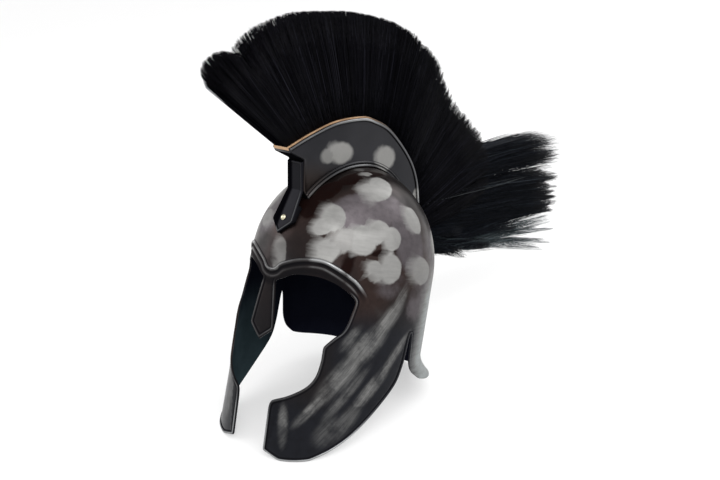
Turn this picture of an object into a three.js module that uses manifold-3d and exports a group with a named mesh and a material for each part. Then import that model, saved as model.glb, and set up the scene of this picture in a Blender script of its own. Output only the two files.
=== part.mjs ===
// A crested hoplite helmet: a one-piece steel skull with cheek pieces, nasal
// and neck guard, a raised crest holder, and a horsehair crest with a tail.
// Millimetres, +Z up. The face looks along -Y and +X is the wearer's left.

import * as THREE from 'three';
import { mergeVertices } from 'three/addons/utils/BufferGeometryUtils.js';
import Module from 'manifold-3d';

const wasm = await Module();
wasm.setup();

// Driving dimensions. Heights are above the cheek tips, with the head upright.
const wall = 1.6;
const gap = 0.3;
const shoulderHeight = 200;
const crownHeight = 314.4;
const domeFullness = 2.04;
const backFullness = 1.85;
const bandRise = 1.2;

// Half width, reach forward and back, and squareness of the front, by height.
const skullPlan = [
  { z: -20, side: 98.2, front: 122.1, back: 101, squareness: 2.85 },
  { z: 60, side: 100.4, front: 123.0, back: 101, squareness: 2.42 },
  { z: 110, side: 103.4, front: 124.4, back: 100, squareness: 2.2 },
  { z: 155, side: 104.5, front: 122.4, back: 99.5, squareness: 2.15 },
  { z: 200, side: 105.3, front: 119.9, back: 99, squareness: 1.89 },
];

// The neck guard's turned-out lip and the height of its lower rim from the ear
// notch round to the back.
const lip = { reach: 14, height: 29, startY: -4, fullY: 52 };
const neckRim = [
  { y: 31, z: 88 },
  { y: 48, z: 85.6 },
  { y: 82, z: 85 },
  { y: 101, z: 80.5 },
  { y: 118, z: 74.5 },
];

// Where the helmet stands by itself: the cheek tips' short flats and the lip.
const cheekFlat = { frontY: -117, backY: -99, backZ: 3.2 };
const cheekGapHalf = 24.4;

const holder = { halfWidth: 12, sheet: 1.2, rimWidth: 1.4, rimDepth: 3.2, beadRadius: 1.6 };
const baseBlock = { depth: 3, rise: 1.5, halfWidth: 10.4 };
const rivet = { z: 252.6, headRadius: 3.1, headRise: 1.9, shankRadius: 1.7, shankLength: 2.6 };

// Mesh fineness.
const columns = 60;
const domeRows = 10;
const curveSteps = 26;

// Height of the neck guard's rim over a point this far back.
const rimHeight = (y) => column(neckRim, 'z', Math.max(y, neckRim[0].y));

// One column of a table, as a smooth curve through its rows, read at a value
// of its first column.
function column(table, key, value) {
  const by = Object.keys(table[0])[0];
  const last = table.length - 1;
  let i = 0;
  while (i < last - 1 && value > table[i + 1][by]) {
    i += 1;
  }
  const slopeAt = (k) => {
    const low = table[Math.max(k - 1, 0)];
    const high = table[Math.min(k + 1, last)];
    return (high[key] - low[key]) / (high[by] - low[by]);
  };
  const span = table[i + 1][by] - table[i][by];
  const t = THREE.MathUtils.clamp((value - table[i][by]) / span, 0, 1);
  const t2 = t * t;
  const t3 = t2 * t;
  return (
    (2 * t3 - 3 * t2 + 1) * table[i][key] +
    (t3 - 2 * t2 + t) * span * slopeAt(i) +
    (3 * t2 - 2 * t3) * table[i + 1][key] +
    (t3 - t2) * span * slopeAt(i + 1)
  );
}

// A point of the skull's surface, grown outwards by `grow` on every side.
// Angle 0 is the front and a quarter turn is the wearer's left.
function skullPoint(angle, z, grow) {
  const top = crownHeight + grow;
  const planZ = Math.min(z, shoulderHeight);
  const rise = THREE.MathUtils.clamp((z - shoulderHeight) / (top - shoulderHeight), 0, 1);
  const shrink = Math.pow(1 - Math.pow(rise, domeFullness), 1 / domeFullness);
  const side = (column(skullPlan, 'side', planZ) + grow) * shrink;
  const front = (column(skullPlan, 'front', planZ) + grow) * shrink;
  const back = (column(skullPlan, 'back', planZ) + grow) * shrink;
  const squareness = column(skullPlan, 'squareness', planZ);
  const across = Math.sin(angle);
  const along = Math.cos(angle);
  const inFront = along > 0;
  const power = 2 / (inFront ? squareness : backFullness);
  const x = side * Math.sign(across) * Math.pow(Math.abs(across), power);
  const reach = Math.pow(Math.abs(along), power);
  const y = inFront ? -front * reach : back * reach;
  const stretch = 1 + lipFlare(y, z) / Math.max(Math.hypot(x, y), 1);
  return new THREE.Vector3(x * stretch, y * stretch, z);
}

// How far the neck guard is turned out at this place.
function lipFlare(y, z) {
  const along = THREE.MathUtils.smoothstep(y, lip.startY, lip.fullY);
  const rim = rimHeight(y + lip.reach * along);
  const down = THREE.MathUtils.clamp((rim + lip.height - z) / lip.height, 0, 1.05);
  return lip.reach * along * down * down;
}

// The floor that the cheek tips' flats and the back of the lip both touch.
const lipBackY = column(skullPlan, 'back', neckRim.at(-1).z) + lip.reach;
const restSlope = (rimHeight(lipBackY) - cheekFlat.backZ) / (lipBackY - cheekFlat.backY);
const restLean = Math.atan(restSlope);

// Turns a closed indexed mesh into a solid.
function toSolid(geometry) {
  const bare = geometry.clone();
  bare.deleteAttribute('normal');
  bare.deleteAttribute('uv');
  const merged = mergeVertices(bare, 1e-4);
  return new wasm.Manifold(
    new wasm.Mesh({
      numProp: 3,
      vertProperties: new Float32Array(merged.attributes.position.array),
      triVerts: new Uint32Array(merged.index.array),
    }),
  );
}

// Turns a solid back into a geometry with flat-shaded faces.
function toGeometry(solid) {
  const mesh = solid.getMesh();
  const geometry = new THREE.BufferGeometry();
  geometry.setAttribute('position', new THREE.BufferAttribute(mesh.vertProperties, 3));
  geometry.setIndex(new THREE.BufferAttribute(mesh.triVerts, 1));
  geometry.computeVertexNormals();
  return geometry;
}

// Closed skin over rings of points, with a fan at each end.
function loft(rings) {
  const size = rings[0].length;
  const points = rings.flat();
  const middle = (ring) =>
    ring.reduce((sum, p) => sum.add(p), new THREE.Vector3()).divideScalar(ring.length);
  const first = points.push(middle(rings[0])) - 1;
  const last = points.push(middle(rings[rings.length - 1])) - 1;
  const index = [];
  for (let r = 0; r < rings.length - 1; r += 1) {
    for (let c = 0; c < size; c += 1) {
      const a = r * size + c;
      const b = r * size + ((c + 1) % size);
      index.push(a, b, b + size, a, b + size, a + size);
    }
  }
  const endRow = (rings.length - 1) * size;
  for (let c = 0; c < size; c += 1) {
    const next = (c + 1) % size;
    index.push(first, next, c);
    index.push(last, endRow + c, endRow + next);
  }
  const geometry = new THREE.BufferGeometry().setFromPoints(points);
  geometry.setIndex(index);
  return geometry;
}

// The whole skull as a solid down to height `bottom`, grown by `grow`.
function skullSolid(grow, bottom) {
  const wallRows = [bottom, 30, 52, 60, 66, 72, 78, 84, 91, 100, 112, 134, 156, 178];
  const domeTop = crownHeight + grow;
  const domeHeights = Array.from({ length: domeRows }, (_, i) => {
    const turn = (i / domeRows) * (Math.PI / 2);
    return shoulderHeight + (domeTop - shoulderHeight) * Math.sin(turn);
  });
  const nearTop = domeTop - 0.35;
  const rings = [...wallRows, ...domeHeights, nearTop].map((z) =>
    Array.from({ length: columns }, (_, i) =>
      skullPoint((i / columns) * Math.PI * 2, z, grow),
    ),
  );
  return toSolid(loft(rings));
}

// A flat shape given as [across, up], pushed along one axis.
function prism(shape, axis, from, to) {
  const geometry = new THREE.ExtrudeGeometry(shape, {
    depth: to - from,
    bevelEnabled: false,
    curveSegments: curveSteps,
  });
  if (axis === 'y') {
    // The shape lies in x and z.
    geometry.rotateX(Math.PI / 2);
    geometry.translate(0, to, 0);
  } else {
    // The shape lies in y and z.
    geometry.applyMatrix4(
      new THREE.Matrix4().set(0, 0, 1, from, 1, 0, 0, 0, 0, 1, 0, 0, 0, 0, 0, 1),
    );
  }
  return toSolid(geometry);
}

const vectors = (pairs) => pairs.map(([a, b]) => new THREE.Vector2(a, b));

// Smooth line through pairs, as a list of points.
function smooth(pairs, steps = curveSteps) {
  return new THREE.SplineCurve(vectors(pairs)).getPoints(steps);
}

// A line moved sideways by `distance`, to its left as it runs.
function offsetLine(line, distance) {
  return line.map((point, i) => {
    const before = line[Math.max(i - 1, 0)];
    const after = line[Math.min(i + 1, line.length - 1)];
    const run = after.clone().sub(before).normalize();
    return new THREE.Vector2(point.x - run.y * distance, point.y + run.x * distance);
  });
}

// The wearer's left half of the face opening, from the bottom up, seen from
// in front: the gap between the cheeks, the cheek's scooped edge, the eye and
// the nasal.
const cheekScoop = smooth([
  [25.4, 56.5], [28.5, 60], [43, 67.5], [56, 77], [63.5, 86], [67.5, 97], [69.2, 112],
], 14);
const eyeSide = smooth([[69.2, 127], [76, 138], [80.5, 144.5], [83, 154], [84.4, 171]], 8);
const browEdge = smooth([
  [84.4, 178], [80.6, 184], [74, 190], [66, 195], [54, 198.6], [40, 198.4], [27, 195.6], [16, 189.5],
], 14);
const nasalEdge = vectors([[9, 186.6], [12.6, 166], [17.6, 134.6]]);
const nasalTip = new THREE.Vector2(0, 120.4);

// Cutters reach through the face from front to middle, and right across it.
const throughFace = [-170, -20];
const acrossHead = [-160, 160];
const cutterFloor = -40;

function faceOpening() {
  const left = [
    new THREE.Vector2(cheekGapHalf, cutterFloor),
    new THREE.Vector2(cheekGapHalf, 50),
    ...cheekScoop,
    ...eyeSide,
    ...browEdge,
    ...nasalEdge,
  ];
  const right = left.map((p) => new THREE.Vector2(-p.x, p.y)).reverse();
  return prism(new THREE.Shape([...left, nasalTip, ...right]), 'y', ...throughFace);
}

// Everything below the helmet's lower edge, seen from the side: the cheek
// tip's flat, its sweep up to the ear notch, and the neck guard's rim.
function belowEdge() {
  const floorAt = (y) => cheekFlat.backZ + restSlope * (y - cheekFlat.backY);
  const sweep = smooth([
    [cheekFlat.backY, cheekFlat.backZ], [-84, 13], [-66, 26], [-49, 40.5], [-32, 57.5],
    [-14.5, 77], [-6, 91], [-1.4, 110],
  ]);
  const notch = vectors([[1.2, 138], [2.8, 144], [4.4, 138]]);
  const corner = smooth([[6.6, 124], [9.4, 109], [16.5, 97], [neckRim[0].y, neckRim[0].z]], 8);
  const rim = smooth(neckRim.map(({ y, z }) => [y, z]), 12).slice(1);
  const outline = [
    new THREE.Vector2(-180, cutterFloor),
    new THREE.Vector2(-180, 4),
    new THREE.Vector2(-124, 4),
    new THREE.Vector2(-121, 0),
    new THREE.Vector2(cheekFlat.frontY, floorAt(cheekFlat.frontY)),
    ...sweep,
    ...notch,
    ...corner,
    ...rim,
    new THREE.Vector2(160, neckRim.at(-1).z),
    new THREE.Vector2(160, cutterFloor),
  ];
  return prism(new THREE.Shape(outline), 'x', ...acrossHead);
}

// The raised band over both eyes, from the point between the brows out to the
// temples, seen from in front. Its lower side is trimmed by the eye opening.
function browBand() {
  const outer = smooth([
    [0, 197.8], [6, 199.5], [14, 206.6], [33, 214.6], [52.5, 217], [67, 211.3], [80, 200.5],
    [88, 188.3], [92, 178], [89.5, 166], [86, 152],
  ], 20);
  const left = [...outer, ...vectors([[70, 150], [60, 175], [0, 184]])];
  const mirrored = left.map((p) => new THREE.Vector2(-p.x, p.y)).reverse();
  const prisms = [left, mirrored].map((line) => prism(new THREE.Shape(line), 'y', ...throughFace));
  return prisms[0].add(prisms[1]);
}

// The uncut skull reaches below every edge that is cut from it.
const bottom = -30;

function helmetShell() {
  const middle = skullSolid(-wall / 2, bottom - 5);
  const band = skullSolid(bandRise, bottom).subtract(middle).intersect(browBand());
  return skullSolid(0, bottom)
    .subtract(skullSolid(-wall, bottom - 5))
    .add(band)
    .subtract(faceOpening())
    .subtract(belowEdge());
}

// The crest holder's top rim over the skull, from the prong over the brow to
// the nape, seen from the side.
const rimLine = smooth([
  [-128.2, 326.2], [-98, 343], [-62, 359], [-21, 367.6], [1, 366], [25, 359.6], [52, 343.6],
  [76, 323.5], [91, 302], [100.5, 276], [106, 250], [108.5, 228],
]);

// Where the holder's front wall and the strap below it stand.
const frontWall = { lowY: -98.4, lowZ: 283, highY: -104, highZ: 315.6, prongY: -126.6, prongZ: 322.2 };

// Side view of the holder, or of the space inside it when inset by its sheet.
function holderOutline(inset) {
  const rim = inset > 0 ? offsetLine(rimLine, 12) : rimLine;
  const front = inset > 0
    ? vectors([
      [frontWall.lowY + inset, 262], [frontWall.lowY + inset, frontWall.lowZ],
      [frontWall.highY + inset, frontWall.highZ + inset],
      [frontWall.prongY + inset, frontWall.prongZ + inset], [frontWall.prongY + inset, 345],
    ])
    : vectors([
      [-93, 266], [frontWall.lowY, frontWall.lowZ], [frontWall.highY, frontWall.highZ],
      [frontWall.prongY, frontWall.prongZ],
    ]);
  const under = vectors([[80, 226], [60, 262], [0, 300], [-60, 285]]);
  return new THREE.Shape([...front, ...rim.slice(inset > 0 ? 3 : 0), ...under]);
}

// A strip along the holder's rim between two offsets from it.
function alongRim(inner, outer, from, to) {
  const run = rimLine.slice(from, to);
  return new THREE.Shape([...offsetLine(run, outer), ...offsetLine(run, inner).reverse()]);
}

// The round bead along the holder's foot, lying on the skull, by its places
// from front to back and the dome's reach under it.
const beadPlaces = [-94.7, -90.9, -84.7, -69.6, -44.9, -15.5, 16.1, 46.7, 72.5, 88.2, 95.5];
const beadReach = { front: 119.9, back: 104 };

function footBead(sideSign) {
  const path = beadPlaces.map((y) => {
    const reach = Math.abs(y) / (y < 0 ? beadReach.front : beadReach.back);
    const cap = Math.pow(1 - Math.pow(reach, domeFullness), 1 / domeFullness);
    const z = shoulderHeight + (crownHeight - shoulderHeight) * cap;
    return new THREE.Vector3(sideSign * holder.halfWidth, y, z + holder.beadRadius + gap);
  });
  const section = new THREE.Shape();
  section.absarc(0, 0, holder.beadRadius, 0, Math.PI * 2, false);
  return toSolid(
    new THREE.ExtrudeGeometry(section, {
      steps: 24,
      curveSegments: 4,
      extrudePath: new THREE.CatmullRomCurve3(path),
    }),
  );
}

const clearSkull = skullSolid(gap, bottom);

function crestHolder() {
  const half = holder.halfWidth;
  const inside = half - holder.sheet;
  const box = prism(holderOutline(0), 'x', -half, half);
  const hollow = prism(holderOutline(holder.sheet), 'x', -inside, inside);
  const rimHalf = half + holder.rimWidth;
  const rim = prism(alongRim(-holder.rimDepth, 0, 0, -1), 'x', -rimHalf, rimHalf);
  return box
    .add(rim)
    .add(footBead(1))
    .add(footBead(-1))
    .subtract(hollow)
    .subtract(clearSkull);
}

function crestBaseBlock() {
  const half = baseBlock.halfWidth;
  const strip = alongRim(-baseBlock.depth, baseBlock.rise, 1, -2);
  return prism(strip, 'x', -half, half).subtract(clearSkull);
}

// The pointed strap that ties the holder's front to the brow: a pressed tongue
// whose folded sides reach down to the skull.
const strapTip = { y: -116.6, z: 235.5 };
const strapSheet = 1.4;
const strapRise = (frontWall.lowZ - strapTip.z) / (frontWall.lowY - gap - strapTip.y);

// Turns a piece made along +Y so that it stands square on the strap's face.
const onStrap = new THREE.Matrix4()
  .makeTranslation(0, strapTip.y - strapSheet + (rivet.z - strapTip.z) / strapRise, rivet.z)
  .multiply(new THREE.Matrix4().makeRotationX(Math.PI - Math.atan(1 / strapRise)));

function frontStrap() {
  const faceY = frontWall.lowY - gap;
  const side = new THREE.Shape(vectors([
    [strapTip.y, strapTip.z - 4], [strapTip.y, strapTip.z], [faceY, frontWall.lowZ],
    [frontWall.highY - gap, frontWall.highZ - 1.5],
    [frontWall.highY - gap - strapSheet, frontWall.highZ - 1.5],
    [faceY - strapSheet, frontWall.lowZ], [strapTip.y - strapSheet, strapTip.z - 4],
  ]));
  const fold = new THREE.Shape(vectors([
    [-60, 231], [-60, 261.8], [-93.6, 265.4], [faceY, frontWall.lowZ],
    [strapTip.y - 0.6, strapTip.z], [strapTip.y, 231],
  ]));
  const front = new THREE.Shape(vectors([
    [0, strapTip.z], [15, 249], [11.4, frontWall.lowZ], [11.4, 320], [-11.4, 320],
    [-11.4, frontWall.lowZ], [-15, 249],
  ]));
  const drill = new THREE.CylinderGeometry(
    rivet.shankRadius + gap, rivet.shankRadius + gap, 2 * (rivet.shankLength + gap), 20,
  ).applyMatrix4(onStrap);
  return prism(side, 'x', -20, 20)
    .add(prism(fold, 'x', -20, 20))
    .intersect(prism(front, 'y', -150, -40))
    .subtract(clearSkull)
    .subtract(toSolid(drill));
}

// The rivet through the strap, with a domed head.
function frontRivet() {
  const profile = new THREE.Path();
  profile.moveTo(0, -rivet.shankLength);
  profile.lineTo(rivet.shankRadius, -rivet.shankLength);
  profile.lineTo(rivet.shankRadius, gap);
  profile.lineTo(rivet.headRadius, gap);
  profile.quadraticCurveTo(rivet.headRadius * 0.9, rivet.headRise, 0, rivet.headRise + gap);
  return new THREE.LatheGeometry(profile.getPoints(5), 20);
}

// Outer form of the upright crest: a row for each fold of the fan, from the
// root on the crest base out to the tips of the hair.
const crestFan = [
  { root: 0.0, tipY: -224, tipZ: 377 },
  { root: 0.02, tipY: -229, tipZ: 392 },
  { root: 0.06, tipY: -204, tipZ: 411 },
  { root: 0.14, tipY: -167, tipZ: 445 },
  { root: 0.26, tipY: -110, tipZ: 466 },
  { root: 0.38, tipY: -38, tipZ: 480 },
  { root: 0.48, tipY: 16, tipZ: 478 },
  { root: 0.58, tipY: 74, tipZ: 461 },
  { root: 0.68, tipY: 118, tipZ: 431 },
  { root: 0.78, tipY: 162, tipZ: 397 },
  { root: 0.88, tipY: 212, tipZ: 366 },
  { root: 1.0, tipY: 236, tipZ: 334 },
];
const crest = { rootHalf: 9.5, tipHalf: 16, clearance: 0.4 };

// Hair is light for the room that it takes up, so its outer form is a thin
// skin, open at the root.
const hairSkin = 0.5;

// The upright crest's outer form, or its inside when inset by the skin.
function crestForm(inset) {
  const rise = baseBlock.rise + crest.clearance - inset;
  const roots = offsetLine(rimLine, rise).slice(0, -5);
  const rootHalf = crest.rootHalf - inset;
  const tipHalf = crest.tipHalf - inset;
  // Half thickness along a hair, from the root over the tip.
  const swell = [
    { share: 0, half: rootHalf },
    { share: 0.45, half: (rootHalf + tipHalf) / 2 },
    { share: 0.85, half: tipHalf },
    { share: 0.97, half: tipHalf * 0.7 },
    { share: 1, half: 0 },
  ];
  const around = [
    ...swell.map(({ share, half }) => ({ share, half: -half })),
    ...swell.slice(0, -1).reverse(),
  ];
  const rings = roots.map((root, i) => {
    const place = i / (roots.length - 1);
    const tip = new THREE.Vector2(column(crestFan, 'tipY', place), column(crestFan, 'tipZ', place));
    const reach = 1 - (1.3 * inset) / root.distanceTo(tip);
    return around.map(({ share, half }) => {
      const point = root.clone().lerp(tip, share * reach);
      return new THREE.Vector3(half, point.x, point.y);
    });
  });
  // The inside starts and ends about a skin's thickness in from both ends.
  const last = rings.length - 1;
  const between = (from, to) => from.map((p, i) => p.clone().lerp(to[i], inset / 10));
  return [between(rings[0], rings[1]), ...rings.slice(1, last), between(rings[last], rings[last - 1])];
}

function crestPlume() {
  return toSolid(loft(crestForm(0))).subtract(toSolid(loft(crestForm(hairSkin))));
}

// Outer form of the longer tail behind the nape, a row for each upright
// section from the skull out to the tips.
const tailForm = [
  { y: 110, top: 262, low: 214, half: 9 },
  { y: 130, top: 281, low: 211, half: 13 },
  { y: 160, top: 296, low: 210, half: 18 },
  { y: 200, top: 311, low: 211, half: 21 },
  { y: 238, top: 327, low: 216, half: 23 },
  { y: 276, top: 356, low: 217, half: 25 },
  { y: 323, top: 369, low: 217, half: 25 },
  { y: 373, top: 382, low: 215, half: 24 },
  { y: 399, top: 371, low: 213, half: 22 },
  { y: 419, top: 345, low: 212, half: 18 },
  { y: 434, top: 275, low: 214, half: 14 },
  { y: 440, top: 240, low: 220, half: 8 },
];

function tailSkin(inset) {
  const corners = 12;
  return tailForm.map((row) => {
    // The inside comes out through the root and stops short of the tips.
    const y = row.y - inset;
    const middle = (row.top + row.low) / 2;
    const halfHeight = (row.top - row.low) / 2 - inset;
    return Array.from({ length: corners }, (_, i) => {
      const turn = ((i + 0.5) / corners) * Math.PI * 2;
      const across = Math.sign(Math.sin(turn)) * Math.pow(Math.abs(Math.sin(turn)), 0.8);
      const up = Math.sign(Math.cos(turn)) * Math.pow(Math.abs(Math.cos(turn)), 0.8);
      return new THREE.Vector3(across * (row.half - inset), y, middle + up * halfHeight);
    });
  });
}

function crestTail() {
  return toSolid(loft(tailSkin(0))).subtract(toSolid(loft(tailSkin(hairSkin))));
}

const helmet = new THREE.Group();

function addPiece(name, geometry, color, roughness, metalness) {
  const material = new THREE.MeshStandardMaterial({ color, roughness, metalness });
  const mesh = new THREE.Mesh(geometry, material);
  mesh.name = name;
  helmet.add(mesh);
  return mesh;
}

const darkSteel = [0x3a3638, 0.42, 0.85];
const hairBlack = [0x0b0c0e, 0.75, 0.0];

addPiece('helmet_shell', toGeometry(helmetShell()), ...darkSteel);
addPiece('crest_holder', toGeometry(crestHolder()), 0x46474b, 0.4, 0.85);
addPiece('crest_base_block', toGeometry(crestBaseBlock()), 0xa5642e, 0.45, 0.8);
addPiece('front_strap', toGeometry(frontStrap()), 0x303135, 0.4, 0.85);
addPiece('crest_plume', toGeometry(crestPlume()), ...hairBlack);
addPiece('crest_tail', toGeometry(crestTail()), ...hairBlack);
const rivetHead = addPiece('front_rivet', frontRivet(), 0xb8ae86, 0.4, 0.9);

rivetHead.applyMatrix4(onStrap);

// Leaned back until the cheek tips and the lip share one floor, with the
// origin under the middle of the whole.
const whole = new THREE.Group();
whole.add(helmet);
helmet.rotation.x = -restLean;
whole.updateMatrixWorld(true);
const box = new THREE.Box3().setFromObject(whole, true);
const middle = box.getCenter(new THREE.Vector3());
helmet.position.set(-middle.x, -middle.y, -box.min.z);

export default whole;
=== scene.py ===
import math

import bmesh
import bpy
import numpy as np
from mathutils import Matrix, Vector
from mathutils.geometry import delaunay_2d_cdt


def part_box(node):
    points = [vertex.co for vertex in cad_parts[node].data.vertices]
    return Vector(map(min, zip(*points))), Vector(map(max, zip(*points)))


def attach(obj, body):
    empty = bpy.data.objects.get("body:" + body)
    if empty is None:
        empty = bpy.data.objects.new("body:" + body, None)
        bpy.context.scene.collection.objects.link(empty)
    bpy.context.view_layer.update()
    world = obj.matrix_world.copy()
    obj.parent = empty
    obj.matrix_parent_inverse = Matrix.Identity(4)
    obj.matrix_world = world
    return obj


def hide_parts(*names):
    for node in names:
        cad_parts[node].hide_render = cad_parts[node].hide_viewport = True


# Crested hoplite helmet in blackened steel with hand-buffed patches.
# The helmet is worked out upright, in millimetres above its cheek tips with the
# face along -y, then leaned back onto its cheek tips and lip by stand().

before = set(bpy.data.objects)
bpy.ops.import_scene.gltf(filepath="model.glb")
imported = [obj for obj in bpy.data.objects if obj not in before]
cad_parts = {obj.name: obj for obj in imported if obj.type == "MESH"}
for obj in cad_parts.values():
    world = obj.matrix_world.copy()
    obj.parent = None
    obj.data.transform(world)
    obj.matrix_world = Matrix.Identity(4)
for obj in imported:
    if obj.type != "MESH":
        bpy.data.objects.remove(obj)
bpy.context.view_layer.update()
mm = 0.001


def named(names, table):  # names a table's columns; None leaves one out of its row
    names = names.split()
    return [{name: held for name, held in zip(names, row) if held is not None} for row in table]


skull = {
    "wall": 1.6,
    "shoulder": 200,
    "crown": 314.4,
    "domeFullness": 2.04,
    "backFullness": 1.85,
    "plan": named("z side front back squareness", [
        (-20, 98.2, 122.1, 101, 2.85),
        (60, 100.4, 123.0, 101, 2.42),
        (110, 103.4, 124.4, 100, 2.2),
        (155, 104.5, 122.4, 99.5, 2.15),
        (200, 105.3, 119.9, 99, 1.89),
    ]),
}
lip = {
    "reach": 14,
    "height": 24,
    "startY": -4,
    "fullY": 52,
    "rim": named("y z", [(31, 88), (48, 85.6), (82, 85), (101, 80.5), (118, 74.5)]),
}
cheekFlat = {"frontY": -117, "backY": -99, "backZ": 3.2}
shoulderPlan = skull["plan"][-1]
domeTall = skull["crown"] - skull["shoulder"]


def unit(vectors):
    return vectors / np.maximum(np.linalg.norm(vectors, axis=-1, keepdims=True), 1e-12)


def smoothStep(value, low, high):
    t = np.clip((value - low) / (high - low), 0, 1)
    return t * t * (3 - 2 * t)


def column(table, key, value):  # smooth curve through one column of a table
    by = list(table[0])[0]
    at, held = (np.array([row[k] for row in table], float) for k in (by, key))
    last = len(table) - 1
    value = np.asarray(value, float)
    i = np.clip(np.searchsorted(at, value) - 1, 0, last - 1)

    def slope(k):
        low, high = np.maximum(k - 1, 0), np.minimum(k + 1, last)
        return (held[high] - held[low]) / (at[high] - at[low])

    span = at[i + 1] - at[i]
    t = np.clip((value - at[i]) / span, 0, 1)
    first = (2 * t**3 - 3 * t**2 + 1) * held[i] + (t**3 - 2 * t**2 + t) * span * slope(i)
    return first + (3 * t**2 - 2 * t**3) * held[i + 1] + (t**3 - t**2) * span * slope(i + 1)


def rimHeight(y):
    return column(lip["rim"], "z", np.maximum(y, lip["rim"][0]["y"]))


def lipFlare(y, z):
    along = smoothStep(y, lip["startY"], lip["fullY"])
    rim = rimHeight(y + lip["reach"] * along)
    down = np.clip((rim + lip["height"] - z) / lip["height"], 0, 1.05)
    return lip["reach"] * along * down * down


def domeShare(rise):  # the dome's width against its height, both as shares
    return (1 - rise ** skull["domeFullness"]) ** (1 / skull["domeFullness"])


def skullPoint(turn, z):  # turn 0 is the front, a quarter turn the wearer's left
    turn, z = np.broadcast_arrays(np.asarray(turn, float), np.asarray(z, float))
    across, along = np.sin(turn), np.cos(turn)
    side, front, back, squareness = (
        column(skull["plan"], key, np.minimum(z, skull["shoulder"])) for key in list(shoulderPlan)[1:]
    )
    reach = np.where(along > 0, front, back)
    power = np.where(along > 0, squareness, skull["backFullness"])
    radius = (np.abs(across / side) ** power + np.abs(along / reach) ** power) ** (-1 / power)
    radius = radius * domeShare(np.clip((z - skull["shoulder"]) / domeTall, 0, 1))
    radius = radius + lipFlare(-along * radius, z)
    return np.stack([across * radius, -along * radius, z], axis=-1)


def skullNormal(turn, z):
    step, rise = 1e-3, 0.05
    around = skullPoint(turn + step, z) - skullPoint(turn - step, z)
    up = skullPoint(turn, z + rise) - skullPoint(turn, z - rise)
    return unit(np.cross(around, up))


def turnWhere(part, wanted, z):  # the turn at which x (part 0) or y (part 1) is as wanted
    wanted, z = np.asarray(wanted, float), np.asarray(z, float)
    low = np.zeros_like(wanted)
    high = np.full_like(wanted, math.pi / 2 if part == 0 else math.pi)
    for _ in range(40):
        middle = (low + high) / 2
        short = skullPoint(middle, z)[..., part] < wanted
        low, high = np.where(short, middle, low), np.where(short, high, middle)
    return (low + high) / 2


def skullTop(x, y):  # height of the dome over a place
    power = np.where(y < 0, shoulderPlan["squareness"], skull["backFullness"])
    reach = np.where(y < 0, shoulderPlan["front"], shoulderPlan["back"])
    out = (np.abs(x / shoulderPlan["side"]) ** power + np.abs(y / reach) ** power) ** (1 / power)
    return skull["shoulder"] + domeTall * domeShare(np.clip(out, 0, 1))


# Leaning back until the cheek tips' flats and the back of the lip share the floor.
lipBackY = skull["plan"][1]["back"] + lip["reach"]
restSlope = (rimHeight(lipBackY) - cheekFlat["backZ"]) / (lipBackY - cheekFlat["backY"])
lean = math.atan(float(restSlope))
leanCos, leanSin = math.cos(lean), math.sin(lean)
napeZ = np.linspace(200, 300, 400)
napeY = skullPoint(math.pi, napeZ)[:, 1]
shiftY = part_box("helmet_shell")[1][1] / mm - np.max(leanCos * napeY + leanSin * napeZ)
shiftZ = leanSin * cheekFlat["backY"] - leanCos * cheekFlat["backZ"]


def stand(points):  # upright millimetres to standing metres
    x, y, z = np.moveaxis(np.asarray(points, float), -1, 0)
    standing = [x, leanCos * y + leanSin * z + shiftY, leanCos * z - leanSin * y + shiftZ]
    return np.stack(standing, axis=-1) * mm


print("stand: lean", round(math.degrees(lean), 2), "shift", round(float(shiftY), 1), round(float(shiftZ), 1))


def curve(points, count=105):  # smooth line through points
    points = np.asarray(points, float)
    padded = np.vstack([points[:1], points, points[-1:]])
    place = np.linspace(0, len(points) - 1, count)
    i = np.minimum(place.astype(int), len(points) - 2)
    t = (place - i)[:, None]
    p0, p1, p2, p3 = (padded[i + k] for k in range(4))
    v0, v1 = (p2 - p0) / 2, (p3 - p1) / 2
    return (2 * p1 - 2 * p2 + v0 + v1) * t**3 + (-3 * p1 + 3 * p2 - 2 * v0 - v1) * t**2 + v0 * t + p1


def respace(line, spacing):
    line = np.asarray(line, float)
    run = np.concatenate([[0], np.cumsum(np.linalg.norm(np.diff(line, axis=0), axis=1))])
    at = np.linspace(0, run[-1], max(2, int(round(run[-1] / spacing)) + 1))
    return np.column_stack([np.interp(at, run, line[:, k]) for k in range(line.shape[1])])


def soften(line, passes):  # rounds off sharp corners, ends held
    for _ in range(passes):
        line = np.vstack([line[:1], (line[:-2] + 2 * line[1:-1] + line[2:]) / 4, line[-1:]])
    return line


def closed(line):
    return np.vstack([line, line[:1]])


def leftOf(line):  # unit vectors pointing to the line's left
    run = unit(np.gradient(line, axis=0))
    return np.column_stack([-run[:, 1], run[:, 0]])


def nearest(line, points):  # distance, side and share along a line
    a, run = line[:-1], np.diff(line, axis=0)
    length2 = (run**2).sum(1)
    out = []
    for start in range(0, len(points), 2000):
        rel = points[start : start + 2000, None, :] - a[None]
        t = np.clip((rel * run).sum(2) / length2, 0, 1)
        gap = ((rel - t[..., None] * run) ** 2).sum(2)
        i = gap.argmin(1)
        each = np.arange(len(i))
        side = np.sign(run[i, 0] * rel[each, i, 1] - run[i, 1] * rel[each, i, 0])
        out.append(np.column_stack([np.sqrt(gap[each, i]), side, (i + t[each, i]) / len(a)]))
    return np.vstack(out).T


def isInside(polygon, points):
    inside = np.zeros(len(points), bool)
    for (ax, ay), (bx, by) in zip(polygon, np.roll(polygon, -1, axis=0)):
        if ay == by:
            continue
        crosses = (points[:, 1] < ay) != (points[:, 1] < by)
        inside ^= crosses & (points[:, 0] < (bx - ax) * (points[:, 1] - ay) / (by - ay) + ax)
    return inside


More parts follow.
